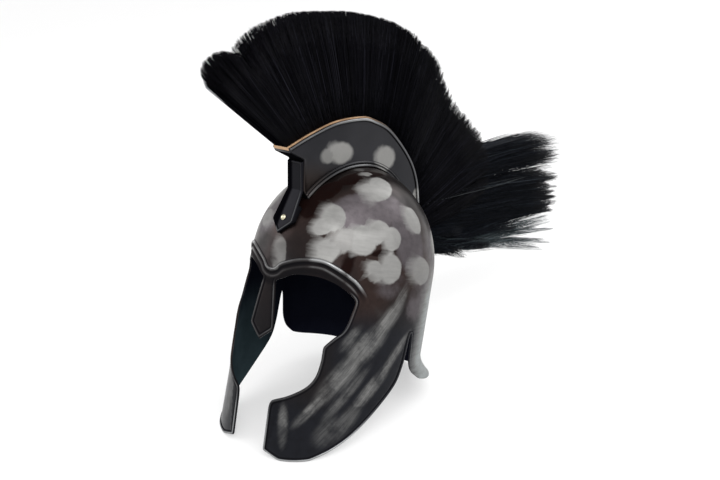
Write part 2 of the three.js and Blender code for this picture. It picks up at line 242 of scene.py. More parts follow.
def riseOf(relief, key, points):  # how far the relief lifts each point, or darkens it with painted shade
    if key not in relief:
        return np.zeros(len(points))
    gap, side, share = nearest(relief["line"], points)
    amount = np.interp(gap * side if relief.get("signed") else gap, relief["across"], relief[key])
    if "fade" in relief:
        amount = amount * smoothStep(share, *relief["fade"])
    if "clear" in relief:
        amount = amount * smoothStep(points[:, 1], *relief["clear"])
    return amount


# A flat pattern cut out along an outline, with beads and grooves along its lines.
# Gives the points, the triangles, how each point is lifted and darkened with painted
# shade in its grooves, and the sides of triangles that lie on the outline.
panel = {
    "stationGap": 1.7,
    "crowded": 0.86,  # share of its offset that a bead's row keeps from the line
    "fromEdge": 0.2,
    "gridFromEdge": 0.55,
    "gridFromBead": 0.45,
}


def reliefPanel(outline, reliefs, spacing):
    points = [outline]
    count = len(outline)
    edges = [(i, (i + 1) % count) for i in range(count)]
    keepOut = []
    for relief in reliefs:
        onEdge = relief.get("isEdge")
        line = relief["line"] if onEdge else respace(relief["line"], panel["stationGap"])
        left = leftOf(line)
        offsets = [a for a in relief["across"] if abs(a) > 0.05 or not onEdge]
        for offset in offsets:
            ring = line + left * offset * relief.get("inward", 1)
            ok = isInside(outline, ring) & (nearest(line, ring)[0] > panel["crowded"] * abs(offset) - 1e-6)
            ok &= nearest(closed(outline), ring)[0] > panel["fromEdge"]
            numbers = np.cumsum(ok) - 1 + count
            edges += [(numbers[i], numbers[i + 1]) for i in range(len(ring) - 1) if ok[i] and ok[i + 1]]
            points.append(ring[ok])
            count += int(ok.sum())
        keepOut.append((relief["line"], max(abs(a) for a in offsets) + panel["gridFromBead"] * spacing))
    low, high = outline.min(0), outline.max(0)
    grid = []
    for k, y in enumerate(np.arange(low[1], high[1], spacing * 0.87)):
        across = np.arange(low[0] + (k % 2) * spacing / 2, high[0], spacing)
        grid.append(np.column_stack([across, np.full(len(across), y)]))
    grid = np.vstack(grid)
    ok = isInside(outline, grid) & (nearest(closed(outline), grid)[0] > panel["gridFromEdge"] * spacing)
    for line, margin in keepOut:
        ok &= nearest(line, grid)[0] > margin
    flat = np.vstack(points + [grid[ok]])
    made = delaunay_2d_cdt([Vector(p) for p in flat], edges, [], 0, 1e-4, False)
    flat = np.array([tuple(p) for p in made[0]])
    faces = np.array([f for f in made[2] if len(f) == 3])
    faces = faces[isInside(outline, flat[faces].mean(1))]
    a, b, c = flat[faces].transpose(1, 0, 2)
    turned = (b[:, 0] - a[:, 0]) * (c[:, 1] - a[:, 1]) - (b[:, 1] - a[:, 1]) * (c[:, 0] - a[:, 0])
    faces, turned = faces[np.abs(turned) > 1e-7], turned[np.abs(turned) > 1e-7]
    faces[turned < 0] = faces[turned < 0][:, ::-1]
    used, faces = np.unique(faces, return_inverse=True)
    flat, faces = flat[used], faces.reshape(-1, 3)
    sides = np.vstack([faces[:, [0, 1]], faces[:, [1, 2]], faces[:, [2, 0]]])
    known = {tuple(s) for s in sides}
    rim = [s for s in sides.tolist() if (s[1], s[0]) not in known]
    lifts = sum(riseOf(relief, "rise", flat) for relief in reliefs)
    grooveShaded = np.clip(sum(riseOf(relief, "grooveShade", flat) for relief in reliefs), 0, 1)
    return flat, faces, lifts, grooveShaded, rim


def bothSkins(faces, rim, shift):  # a skin, the skin behind it and the strips that join them
    front = [tuple(f) for f in faces]
    back = [tuple(i + shift for i in f[::-1]) for f in front]
    return front + back + [(b, a, a + shift, b + shift) for a, b in rim]


def tubeFaces(rings, size, capped=False, turned=False):
    faces = []
    for k in range(rings - 1):
        for c in range(size):
            a, b = k * size + c, k * size + (c + 1) % size
            faces.append((a, a + size, b + size, b) if turned else (a, b, b + size, a + size))
    if capped:
        caps = [tuple(range(size))[::-1], tuple(range((rings - 1) * size, rings * size))]
        faces += [cap[::-1] if turned else cap for cap in caps]
    return faces


def addToScene(name, data):
    made = bpy.data.objects.new(name, data)
    bpy.context.scene.collection.objects.link(made)
    return made


def editMesh(mesh, change):
    bm = bmesh.new()
    bm.from_mesh(mesh)
    change(bm)
    bm.to_mesh(mesh)
    bm.free()


def sharpen(piece, degrees):  # creases steeper than this stay crisp
    def crease(bm):
        for e in bm.edges:
            if len(e.link_faces) == 2 and e.calc_face_angle(0) > math.radians(degrees):
                e.smooth = False

    editMesh(piece.data, crease)


def makePiece(name, points, faces, materials, replaces=(), kinds=None, uvs=None, marks=None, weld=0.0):
    mesh = bpy.data.meshes.new(name)
    mesh.from_pydata(np.asarray(points).tolist(), [], [list(map(int, f)) for f in faces])
    for material in materials:
        mesh.materials.append(material)
    if kinds is not None:
        mesh.polygons.foreach_set("material_index", np.asarray(kinds, np.int32))
    mesh.polygons.foreach_set("use_smooth", np.ones(len(mesh.polygons), bool))
    if uvs is not None:
        layer = mesh.uv_layers.new(name="wallMap")
        corner = np.empty(len(mesh.loops), np.int32)
        mesh.loops.foreach_get("vertex_index", corner)
        layer.data.foreach_set("uv", np.asarray(uvs, float)[corner].ravel())
    for mark, values in (marks or {}).items():  # numbers at each point that the finish reads
        layer = mesh.attributes.new(mark, "FLOAT", "POINT")
        layer.data.foreach_set("value", np.asarray(values, float))
    if weld:
        editMesh(mesh, lambda bm: bmesh.ops.remove_doubles(bm, verts=bm.verts, dist=weld))
    mesh.update()
    piece = addToScene(name, mesh)
    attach(piece, "root")
    if replaces:
        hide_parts(*replaces)
    return piece


class Value:  # a number from a finish's nodes; + - * and / join more nodes to it
    def __init__(self, finish, socket):
        self.finish = finish
        self.socket = socket

    def __add__(self, other):
        return self.finish.math("ADD", self, other)

    def __sub__(self, other):
        return self.finish.math("SUBTRACT", self, other)

    def __rsub__(self, other):
        return self.finish.math("SUBTRACT", other, self)

    def __mul__(self, other):
        return self.finish.math("MULTIPLY", self, other)

    def __truediv__(self, other):
        return self.finish.math("DIVIDE", self, other)

    def ramp(self, low, high, toLow=0.0, toHigh=1.0, kind="SMOOTHSTEP"):
        inputs = {"Value": self, "From Min": low, "From Max": high, "To Min": toLow, "To Max": toHigh}
        return self.finish.node("ShaderNodeMapRange", inputs, "Result", interpolation_type=kind)

    def line(self, low, high, toLow, toHigh):
        return self.ramp(low, high, toLow, toHigh, "LINEAR")


class Finish:  # a material; its plain values sit on the shader itself
    def __init__(self, name, **fixed):
        self.material = bpy.data.materials.new(name)
        self.material.use_nodes = True
        self.tree = self.material.node_tree
        self.shader = self.tree.nodes["Principled BSDF"]
        self.feed(**fixed)
        self.place = self.node("ShaderNodeTexCoord", out="Object")

    def plug(self, socket, value):
        if isinstance(value, Value):
            self.tree.links.new(value.socket, socket)
        else:
            socket.default_value = (*value, 1) if socket.type == "RGBA" else value

    def feed(self, **inputs):
        for key, value in inputs.items():
            self.plug(self.shader.inputs[key.replace("_", " ")], value)
        return self.material

    def node(self, kind, inputs=None, out=0, **settings):
        made = self.tree.nodes.new(kind)
        for key, value in settings.items():
            setattr(made, key, value)
        for key, value in (inputs or {}).items():
            self.plug(made.inputs[key], value)
        return Value(self, made.outputs[out])

    def math(self, operation, a, b=0.0, clamp=False):
        return self.node("ShaderNodeMath", {0: a, 1: b}, operation=operation, use_clamp=clamp)

    def larger(self, a, b):
        return self.math("MAXIMUM", a, b)

    def mix(self, factor, a, b):
        return self.node("ShaderNodeMix", {"Factor": factor, 6: a, 7: b}, 2, data_type="RGBA")

    def noise(self, scale, detail=4.0, roughness=0.55, vector=None):
        inputs = {"Vector": vector or self.place, "Scale": scale, "Detail": detail, "Roughness": roughness}
        return self.node("ShaderNodeTexNoise", inputs, "Fac")

    def mark(self, name):  # numbers laid on the mesh
        return self.node("ShaderNodeAttribute", out="Fac", attribute_name=name)

    def wall(self):  # distance round the wall and height, both in tenths of a metre
        return self.node("ShaderNodeUVMap", out="UV", uv_map="wallMap")

    def split(self, vector):
        outputs = self.node("ShaderNodeSeparateXYZ", {0: vector}).socket.node.outputs
        return [Value(self, socket) for socket in outputs]

    def bump(self, height, strength, distance):
        return self.node("ShaderNodeBump", {"Height": height, "Strength": strength, "Distance": distance})

    def stretched(self, vector, scale, turn=0.0, roughness=0.6):  # noise drawn out into strokes
        for key, value in (("Rotation", (0, 0, math.radians(turn))), ("Scale", scale)):
            vector = self.node("ShaderNodeMapping", {"Vector": vector, key: value})
        return self.noise(1.0, 5.0, roughness, vector)

    def blobs(self, breakUp, softness):  # buffed patches, trailing off where the pad left the steel
        edge = (self.mark("buffed") + breakUp - 0.5) / (self.mark("trailing") + softness)
        return edge.ramp(-0.5, 0.5) * self.mark("bareness")


steelLook = {
    "cheek": (0.0145, 0.0152, 0.0188),
    "brown": (0.037, 0.0245, 0.022),
    "dark": (0.017, 0.0145, 0.0148),
    "deep": (0.0090, 0.0040, 0.0035),
    # Painted reflection of the overhead light on the upper skull.
    "plum": (0.095, 0.084, 0.090),
    "speck": (0.006, 0.006, 0.006),
    # Painted shade in the grooves beside the beads.
    "grooveShade": (0.004, 0.004, 0.005),
    "buffed": (0.310, 0.307, 0.298),
    "buffedDim": (0.215, 0.215, 0.21),
    "guard": (0.285, 0.305, 0.305),
    # Worn bead colour, also a painted highlight on the beads.
    "wornHighlight": (0.31, 0.315, 0.32),
    "darkRough": 0.3,
    "plumRough": 0.16,
    "buffedRough": 0.58,
}

# Where the black has been buffed away: the turn from the front in degrees, the
# height, the length and width, the tilt of the length, and how bare it is.
patchColumns = "turn height long wide tilt bare"
buffedMarks = ("buffed", "bareness", "trailing")
buffedPatches = named(patchColumns, [
    (28.4, 261, 33, 28, -72, 1.0),
    (23.5, 250, 24, 19, 25, 0.9),
    (29.1, 226.5, 32, 25, 3, 0.92),
    (38.7, 241, 36, 24, 14, 0.8),
    (48.1, 242, 36, 32, 20, 1.0),
    (58.1, 252, 31, 25, 24, 1.0),
    (67.9, 246, 27, 23, 68, 0.95),
    (62.5, 295, 45, 30, 53, 1.0),
    (51, 294, 27, 16, 23, 0.95),
    (51.2, 307.4, 16, 8, 26, 0.6),
    (38.2, 310.5, 15, 8, 32, 0.5),
    (89.3, 266, 33, 24, -75, 0.85),
    (67.5, 215, 33, 28, 86, 0.95),
    (57.3, 211, 28, 23, 0, 0.9),
    (92, 213, 40, 30, -20, 0.72),
    (3.6, 218.5, 30, 19, -69, 0.32),
    (2.6, 204, 15, 10, -60, 0.28),
    (-20, 246, 34, 20, -8, 0.62),
    (-38, 232, 44, 24, -14, 1.0),
    (-50, 244, 34, 28, -20, 1.0),
    (-33, 265, 28, 27, 0, 1.0),
    (-67, 226, 34, 27, -65, 1.0),
    (-60, 292, 42, 29, -45, 0.95),
    (-84, 262, 30, 22, 70, 0.9),
    (-92, 214, 36, 27, 12, 0.8),
    (122, 240, 40, 28, 15, 1.0),
    (133, 262, 30, 26, 0, 1.0),
    (158, 238, 40, 25, 40, 0.9),
    (-126, 240, 40, 27, -12, 1.0),
    (-140, 254, 30, 26, 10, 0.95),
    (-155, 224, 34, 26, -25, 0.9),
])
overheadSheen = named(patchColumns, [  # painted reflection of the overhead light, plum grey on the upper skull
    (51, 272, 98, 48, 13, 1.0),
    (80, 250, 84, 44, -77, 0.8),
    (74, 196, 56, 30, -3, 0.42),
    (92, 186, 60, 40, 85, 0.6),
    (-32, 249, 96, 54, 1, 1.0),
    (-75, 240, 90, 60, 60, 0.7),
    (130, 235, 110, 60, 0, 0.7),
    (-135, 235, 110, 60, 0, 0.7),
    (180, 210, 100, 60, 0, 0.6),
])
deepened = named(patchColumns, [  # where it is thickest, a red almost black
    (42.3, 218.5, 22, 18, -82, 1.0),
    (10.5, 268, 30, 24, -53, 0.95),
    (19, 287, 40, 21, 67, 1.0),
    (31.5, 300, 34, 18, 53, 1.0),
    (58, 308, 40, 12, 20, 0.9),
    (62, 231.5, 34, 9, 12, 0.8),
    (-42, 212, 26, 16, 70, 0.9),
    (-19, 286, 44, 20, -67, 0.9),
    (-108, 208, 30, 18, 10, 0.8),
])
cheekStrokes = named(patchColumns, [  # on the left cheek, mirrored to the right
    (77, 178, 40, 11, 66, 0.42),
    (70, 158, 50, 17, 52, 0.5),
    (59, 131, 56, 24, 48, 0.5),
    (47, 98, 68, 20, 54, 0.46),
    (34.5, 61, 52, 9, 53, 0.55),
    (79, 118, 52, 10, 55, 0.5),
    (66, 84, 62, 14, 51, 0.5),
    (52, 46, 52, 18, 52, 0.22),
    (44, 36, 36, 22, 50, 0.19),
    (49, 139, 30, 10, 56, 0.35),
    (51, 78, 66, 10, 54, 0.3),
    (20.8, 36, 40, 10, -84, 0.5),
])


def nearestPatch(points, patches, measure):  # the three buffed marks of each point
    best, bare, trailing = np.zeros((3, len(points)))
    for patch in patches:
        near, frontward = measure(patch)
        closer = np.clip(near, 0, 1) > best
        best, bare = np.where(closer, np.clip(near, 0, 1), best), np.where(closer, patch["bare"], bare)
        trailing = np.where(closer, frontward, trailing)
    return best, bare, trailing


def closeness(points, patches, reach):  # 1 well inside a patch, half at its outline, 0 outside
    # Gives the closeness, how bare the nearest patch is, and how far towards its
    # front side, where the pad trailed off, each upright point is.
    def measure(patch):
        turn, tilt = math.radians(patch["turn"]), math.radians(patch["tilt"])
        normal = skullNormal(turn, patch["height"])
        around = np.array([math.cos(turn), math.sin(turn), 0.0])
        around = unit(around - normal * (around @ normal))
        along = around * math.cos(tilt) + np.cross(normal, around) * math.sin(tilt)
        rel = points - skullPoint(turn, patch["height"])
        parts = (along, patch["long"] / 2), (np.cross(normal, along), patch["wide"] / 2), (normal, 40)
        far = np.sqrt(sum((rel @ axis / half) ** 2 for axis, half in parts))
        frontward = -(rel @ around) / (patch["wide"] / 2) * (1 if turn > 0 else -1)
        return 0.5 + (1 - far) / reach, smoothStep(frontward, 0.0, 1.1)

    return nearestPatch(points, patches, measure)


def buffedSteel():
    look = steelLook
    f = Finish("buffedBlackSteel", Coat_Weight=0.03, Coat_Roughness=0.15, Specular_IOR_Level=0.0)
    wall = f.wall()
    mirrored = f.node("ShaderNodeVectorMath", {0: wall}, operation="ABSOLUTE")
    around, height, _ = f.split(mirrored)

    # Fine strokes lie round the skull, and slant down the cheeks.
    strokes = f.stretched(wall, (4, 30, 1))
    cheekLines = f.stretched(mirrored, (3, 30, 1), -54, 0.62)
    streaky = (strokes - 0.5) * (f.mark("trailing") * 0.85 + 0.06)
    blobs = f.blobs((f.noise(75.0, 3.0) - 0.5) * 0.3 + streaky, 0.16)
    patchy = f.noise(42.0, 4.0, 0.65).ramp(0.32, 0.62, 0.35, 1.2)
    streaks = f.math("MULTIPLY", f.mark("stroked"), ((cheekLines - 0.5) * 2.3 + 0.78) * patchy, clamp=True)

    # The neck guard's outside is rubbed pale right down to the lip.
    behind = (around + (strokes - 0.5) * 0.16).ramp(1.88, 2.2)
    guard = behind * height.ramp(2.3, 1.75) * strokes.ramp(0.25, 0.6, 0.6, 0.95)
    bare = f.larger(f.larger(blobs, streaks), guard)

    fine = f.noise(120.0, 4.0, 0.6)
    black = f.mix(f.noise(9.0, 2.0, 0.5).ramp(0.35, 0.62), look["brown"], look["dark"])
    byScoop = around.ramp(1.0, 0.75) * height.ramp(0.5, 0.8, 0.0, 0.8)
    black = f.mix(height.ramp(1.8, 1.4) * (1 - byScoop), black, look["cheek"])
    soft = f.noise(22.0, 4.0, 0.6).ramp(0.3, 0.7, -0.22, 0.22)
    # Plum grey is a painted reflection of the overhead light on the upper skull.
    sheen = (f.mark("overheadSheen") + soft).ramp(0.25, 0.75)
    deep = (f.mark("deepened") + soft).ramp(0.25, 0.6)
    black = f.mix(deep, f.mix(sheen, black, look["plum"]), look["deep"])
    black = f.mix(fine.ramp(0.3, 0.8, 0.0, 0.3), black, look["speck"])
    steel = f.mix(strokes.ramp(0.25, 0.75, 0.0, 0.4), look["buffed"], look["buffedDim"])
    color = f.mix(bare, black, f.mix(guard, steel, look["guard"]))

    # Beads are worn bright, and carry a painted highlight, where they face up or sit low on the cheeks.
    normal = f.node("ShaderNodeNewGeometry", out="Normal")
    lit = f.larger(f.split(normal)[2].ramp(-0.1, 0.65).line(0.0, 1.0, 0.3, 1.0), height.ramp(0.9, 0.2))
    ridgeHighlight = f.mark("raised").ramp(0.5, 1.3) * f.mark("wearAndHighlight")
    ridgeHighlight = ridgeHighlight * f.noise(24.0).ramp(0.35, 0.62, 0.5, 1.1) * lit
    # Grooves beside the beads are painted dark as shade and lose their gloss.
    shadedGrooves = f.mark("shadedGrooves")
    rough = bare.line(0.0, 1.0, look["darkRough"], look["buffedRough"]) + fine.line(0.2, 0.8, -0.05, 0.09)
    return f.feed(
        Base_Color=f.mix(shadedGrooves, f.mix(ridgeHighlight, color, look["wornHighlight"]), look["grooveShade"]),
        Metallic=shadedGrooves.line(0.0, 0.7, 0.94, 0.04) * deep.line(0.0, 1.0, 1.0, 0.25),
        Roughness=rough + sheen * look["plumRough"],
        Normal=f.bump(strokes * bare * 0.6 + fine * 0.25, 0.25, 0.0004),
    )


liningLook = {
    # The inside of the skull is painted darker than the inside of the cheeks, as painted shade where little
    # light gets in.
    "skull": [(0.0036, 0.0041, 0.0080), (0.0064, 0.0073, 0.0128)],
    "cheek": [(0.019, 0.030, 0.035), (0.034, 0.051, 0.059)],
}


def liningBlack():
    f = Finish("liningBlack", Specular_IOR_Level=0.0)
    around, height, _ = f.split(f.node("ShaderNodeVectorMath", {0: f.wall()}, operation="ABSOLUTE"))
    mottle = f.noise(18.0)
    shadedSkullInside, cheekInside = (f.mix(mottle.ramp(0.3, 0.7), *liningLook[key]) for key in ("skull", "cheek"))
    # Painted shade: the inside of the skull is darker than the inside of the cheeks.
    cheek = height.ramp(1.7, 1.0) * around.ramp(1.9, 1.5)
    return f.feed(Base_Color=f.mix(cheek, shadedSkullInside, cheekInside),
                  Roughness=mottle.line(0.2, 0.8, 0.45, 0.6))


face = {
    "cheekGap": [(24.4, 3.0), (24.4, 50)],
    "cheekScoop": [(25.4, 56.5), (28.5, 60), (43, 67.5), (56, 77), (63.5, 86), (67.5, 97), (69.2, 112)],
    "eyeSide": [(69.2, 127), (76, 138), (80.5, 144.5), (83, 154), (84.4, 171)],
    "browEdge": [
        (84.4, 178), (80.6, 184), (74, 190), (66, 195), (54, 198.6), (40, 198.4), (27, 195.6), (16, 189.5),
    ],
    "nasal": [(9, 186.6), (12.6, 166), (17.6, 134.6), (0, 120.4)],
    "bandOuter": [
        (0, 197.8), (6, 199.5), (14, 206.6), (33, 214.6), (52.5, 217), (67, 211.3), (80, 200.5), (88, 188.3),
        (92, 178),
    ],
}
lowerEdge = {
    "sweep": [(-84, 13), (-66, 26), (-49, 40.5), (-32, 57.5), (-14.5, 77), (-6, 91), (-1.4, 110)],
    "notch": [(1.2, 138), (2.8, 144), (4.4, 138)],
    "corner": [(6.6, 124), (9.4, 109), (16.5, 97), (31, 88)],
}
shellMesh = {
    "patternTop": 230,  # where the wall's pattern gives way to the dome's rings
    "spacing": 2.7,
    "domeColumns": 124,
    "domeRings": 38,
    "edgeThinner": 0.35,  # the sheet's cut edge is a little thinner than its wall
    "edgeBead": {
        "across": [0, 0.3, 0.7, 1.2, 1.7, 2.2, 2.7, 3.2, 3.9, 4.8],
        "rise": [-0.6, 0.25, 0.8, 1.1, 1.1, 0.8, 0.3, -0.2, -0.35, 0],
        "grooveShade": [0.3, 0.15, 0, 0, 0, 0, 0.3, 1, 0.7, 0],
        "isEdge": True,
        "fade": (0.82, 0.74),
        "clear": (192, 178),  # the opening's own bead stops under the brow
    },
    # The brow band's beads, with painted shade in its grooves and on its inner face.
    "browBand": {
        "across": [-1.6, -0.6, 0.2, 1.2, 2.2, 3.2, 4.0, 5.4, 6.6, 7.8, 9.0, 10.2, 11.4, 15.0, 19.0],
        "rise": [0, 0.4, 1.6, 2.15, 1.95, 1.0, 0.2, 0, 0.3, 0.72, 0.82, 0.62, 0.35, 0.3, 0.3],
        "grooveShade": [0, 0.6, 0.1, 0, 0.1, 0.6, 0.9, 0.9, 0.7, 0.3, 0.15, 0.5, 0.75, 0.75, 0.4],
        "signed": True,
        "fade": (0.0, 0.2),
    },
    # How brightly the beads are worn and given a painted highlight along the brow, by the turn from the
    # front.
    "wearAndHighlightAt": [0, 8, 15, 21, 24, 34, 38, 41.5, 44, 50, 53, 60],
    "wearAndHighlight": [0.3, 0.36, 0.3, 0.3, 1.9, 2.1, 1.5, 0.3, 1.4, 1.5, 0.28, 0.2],
    "browFrom": (168, 184),
    "lowWearAndHighlight": 0.34,
    "tipWearAndHighlight": 1.3,
    "farCheek": 0.4,  # the far cheek's strokes are rubbed less
}


def unrolled():  # distance round the wall for each turn
    turns = np.linspace(0, math.pi, 2000)
    ring = skullPoint(turns, np.full_like(turns, 130.0))
    return turns, np.concatenate([[0], np.cumsum(np.linalg.norm(np.diff(ring, axis=0), axis=1))])


wallTurns, wallRun = unrolled()
halfRound = wallRun[-1]


def toPattern(part, line):  # a front (x, z) or side (y, z) line onto the unrolled wall
    line = np.asarray(line, float)
    turn = turnWhere(part, line[:, 0], line[:, 1])
    return np.column_stack([np.interp(turn, wallTurns, wallRun), line[:, 1]])


def shellPattern():
    m = shellMesh
    opening = np.vstack([
        respace(face["nasal"][::-1], 1.0), curve(face["browEdge"])[::-1], curve(face["eyeSide"])[::-1],
        curve(face["cheekScoop"])[::-1], respace(face["cheekGap"][::-1], 1.0),
    ])
    flatZ = cheekFlat["backZ"] + restSlope * (cheekFlat["frontY"] - cheekFlat["backY"])
    floorLine = np.array([(cheekFlat["frontY"], flatZ), (cheekFlat["backY"], cheekFlat["backZ"])])
    under = np.vstack([
        respace(floorLine, 1.5), curve(lowerEdge["sweep"]), respace(lowerEdge["notch"], 1.5),
        curve(lowerEdge["corner"]), curve([(row["y"], row["z"]) for row in lip["rim"]])[1:],
    ])
    front = toPattern(0, opening)
    below = toPattern(1, under)
    below = below[(below[:, 0] < halfRound - 0.5) & (below[:, 0] > front[-1, 0] + 1.0)]
    edge = np.vstack([front, below, [[halfRound, float(rimHeight(lipBackY))]]])
    edge = soften(respace(edge, panel["stationGap"]), 2)
    edge[0, 0], edge[-1, 0] = 0, halfRound
    top = m["patternTop"]
    backLine = respace([edge[-1], (halfRound, top)], m["spacing"])[1:-1]
    across = np.linspace(halfRound, 0, m["domeColumns"] + 1)
    frontLine = respace([(0, top), edge[0]], m["spacing"])[1:-1]
    outline = np.vstack([edge, backLine, np.column_stack([across, np.full(len(across), top)]), frontLine])
    # Both lines run so that their relief lies on the eye opening's left-hand side.
    band = toPattern(0, curve(face["bandOuter"]))[::-1]
    band[-1, 0] = 0
    return outline, [{"line": edge, **m["edgeBead"]}, {"line": band, **m["browBand"]}]


def shellMarks(points):  # where the finish is buffed or deep, and where a reflection is painted, at each point
    marks = dict(zip(buffedMarks, closeness(points, buffedPatches, 1.0)))
    onRight = points[:, 0] < 0
    onLeft = points * np.where(onRight[:, None], (-1, 1, 1), (1, 1, 1))
    for name, where, patches, reach, share in (
        ("stroked", onLeft, cheekStrokes, 0.95, np.where(onRight, shellMesh["farCheek"], 1.0)),
        ("overheadSheen", points, overheadSheen, 0.9, 1.0),
        ("deepened", points, deepened, 1.0, 1.0),
    ):
        near, bare, _ = closeness(where, patches, reach)
        marks[name] = smoothStep(near, 0, 1) * (bare * share)
    return marks


def makeShell(steel, lining):
    m = shellMesh
    outline, reliefs = shellPattern()
    flat, faces, lifts, grooveShaded, rim = reliefPanel(outline, reliefs, m["spacing"])
    turn = np.interp(flat[:, 0], wallRun, wallTurns)
    base, normal = skullPoint(turn, flat[:, 1]), skullNormal(turn, flat[:, 1])
    print("shell: pattern", len(flat), "points", len(faces), "triangles")

    # Dome rings above the pattern share its top row.
    startTurn = math.asin((m["patternTop"] - skull["shoulder"]) / domeTall)
    climb = np.linspace(startTurn, math.pi / 2, m["domeRings"] + 1)[1:-1]
    domeZ = skull["shoulder"] + domeTall * np.sin(climb)
    run = np.linspace(0, halfRound, m["domeColumns"] + 1)
    topRow = [int(np.argmin(np.abs(flat - (u, m["patternTop"])).sum(1))) for u in run]
    gridTurn, gridZ = np.meshgrid(np.interp(run, wallRun, wallTurns), domeZ)
    domePoints = skullPoint(gridTurn, gridZ).reshape(-1, 3)
    domeNormals = skullNormal(gridTurn, gridZ).reshape(-1, 3)
    count, wide = len(flat), len(run)
    pole = count + len(domePoints)
    levels = np.vstack([topRow, np.arange(count, pole).reshape(-1, wide)]).tolist()
    outerFaces = [tuple(f) for f in faces]
    for low, high in zip(levels[:-1], levels[1:]):
        outerFaces += [(low[c], low[c + 1], high[c + 1], high[c]) for c in range(wide - 1)]
    outerFaces += [(levels[-1][c], levels[-1][c + 1], pole) for c in range(wide - 1)]
    base = np.vstack([base, domePoints, [[0, 0, skull["crown"]]]])
    normal = np.vstack([normal, domeNormals, [[0, 0, 1]]])
    lifts, grooveShaded = (np.concatenate([held, np.zeros(len(domePoints) + 1)]) for held in (lifts, grooveShaded))
    allFlat = np.vstack([flat, np.column_stack([np.tile(run, len(domeZ)), gridZ.ravel()]), [[0, 330]]])

    onAxis = (np.abs(allFlat[:, 0]) < 1e-3) | (np.abs(allFlat[:, 0] - halfRound) < 1e-3)
    base[onAxis, 0] = normal[onAxis, 0] = 0
    normal = unit(normal)
    freeEdge = [
        s for s in rim
        if not (flat[s, 0].max() < 1e-3 or flat[s, 0].min() > halfRound - 1e-3
                or flat[s, 1].min() > m["patternTop"] - 1e-3)
    ]
    total = len(base)
    sheetEdge = np.zeros(total)
    sheetEdge[np.unique(freeEdge)] = 1.0
    inset = skull["wall"] - m["edgeThinner"] * sheetEdge
    points = np.vstack([base + normal * lifts[:, None], base - normal * inset[:, None]])
    halfFaces = bothSkins(outerFaces, freeEdge, total)
    kinds = np.repeat([0, 1, 0], [len(outerFaces), len(outerFaces), len(freeEdge)])
    mirroredFaces = [tuple(i + 2 * total for i in f[::-1]) for f in halfFaces]
    whole = np.vstack([points, points * (-1, 1, 1)])
    uv = np.tile(allFlat, (2, 1)) / 100
    # Where the beads are worn and given a painted highlight.
    onBrow = smoothStep(allFlat[:, 1], *m["browFrom"])
    degrees = np.degrees(np.interp(allFlat[:, 0], wallRun, wallTurns))
    wearAndHighlight = onBrow * np.interp(degrees, m["wearAndHighlightAt"], m["wearAndHighlight"])
    wearAndHighlight = wearAndHighlight + (1 - onBrow) * (m["lowWearAndHighlight"] + m["tipWearAndHighlight"] * smoothStep(allFlat[:, 1], 62, 20))
    marks = {
        **shellMarks(whole),
        "raised": np.tile(np.concatenate([lifts, sheetEdge]), 2),  # the cut edge is worn and given a painted highlight like its bead
        "shadedGrooves": np.tile(np.concatenate([grooveShaded, np.zeros(total)]), 2),
        "wearAndHighlight": np.tile(wearAndHighlight, 4),
    }
    standing = stand(whole)
    standing[:, 2] = np.maximum(standing[:, 2], 0)
    shell = makePiece("helmetShell", standing, halfFaces + mirroredFaces, [steel, lining],
                      ["helmet_shell"], np.tile(kinds, 2), np.vstack([uv, uv * (-1, 1)]), marks, weld=2e-6)
    print("shell:", len(shell.data.polygons), "faces")


holder = {
    "half": 12,
    "rimLine": [
        (-128.2, 326.2), (-98, 343), (-62, 359), (-21, 367.6), (1, 366), (25, 359.6), (52, 343.6),
        (76, 323.5), (91, 302), (100.5, 276), (106, 250), (108.5, 228),
    ],
    "front": [(-93, 266), (-98.4, 283), (-104, 315.6), (-126.6, 322.2)],
    "footClear": 0.4,
    "footTo": 97.5,
    "spacing": 2.8,
    "rimBead": {
        "across": [0, 0.35, 0.9, 1.6, 2.3, 3.0, 3.7, 4.6],
        "rise": [0.5, 1.35, 1.7, 1.75, 1.5, 0.7, -0.2, 0],
        "grooveShade": [0, 0, 0, 0, 0, 0.6, 1.0, 0.3],
    },
    # The foot's beads, with painted shade in their grooves and in the gap where the foot meets the skull.
    "footBeads": {
        "across": [0, 0.4, 1.0, 1.8, 2.6, 3.3, 4.0, 4.8, 5.6, 6.5, 7.4],
        "rise": [0.6, 1.5, 1.95, 1.9, 1.2, 0.35, 0.5, 1.05, 0.85, -0.1, 0],
        "grooveShade": [0.8, 0.2, 0, 0, 0.3, 1.0, 0.6, 0, 0, 0.7, 0],
    },
    "frontBead": {"across": [0, 0.5, 1.2, 2.0, 2.8], "rise": [-0.5, 0.25, 0.5, 0.2, 0]},
    # How brightly the beads are worn and given a painted highlight along the holder, by the place from front
    # to back.
    "wearAndHighlightAt": [-128, -100, -88, -70, -40, -10, 8, 30, 60, 88, 100],
    "rimWearAndHighlight": [0.25, 0.45, 0.36, 0.33, 0.6, 1.0, 0.4, 0.26, 0.26, 0.24, 0.6],
    "footWearAndHighlight": [0.06, 0.1, 0.3, 0.16, 0.26, 0.6, 0.16, 0.08, 0.06, 0.12, 0.3],
    "patches": named("y z long tall bare", [  # buffed places on the side plates; the last, at the rear end, is a painted highlight
        (-50, 327, 39, 24, 1.0),
        (-69, 322, 20, 16, 0.72),
        (26, 325, 34, 28, 0.95),
        (92, 280, 10, 24, 0.9),
    ]),
    "slate": [(0.021, 0.0212, 0.0245), (0.033, 0.033, 0.037)],
    "brown": (0.036, 0.0275, 0.0245),
    "buffed": (0.37, 0.366, 0.352),
    # Worn bead colour, also a painted highlight on the beads.
    "wornHighlight": (0.3, 0.305, 0.31),
    # Matt black of the front wall and the prong's underside, painted shade.
    "wallShade": [(0.0012, 0.0012, 0.0016), (0.003, 0.003, 0.0036)],
}


def rimCurve():
    return curve(holder["rimLine"])


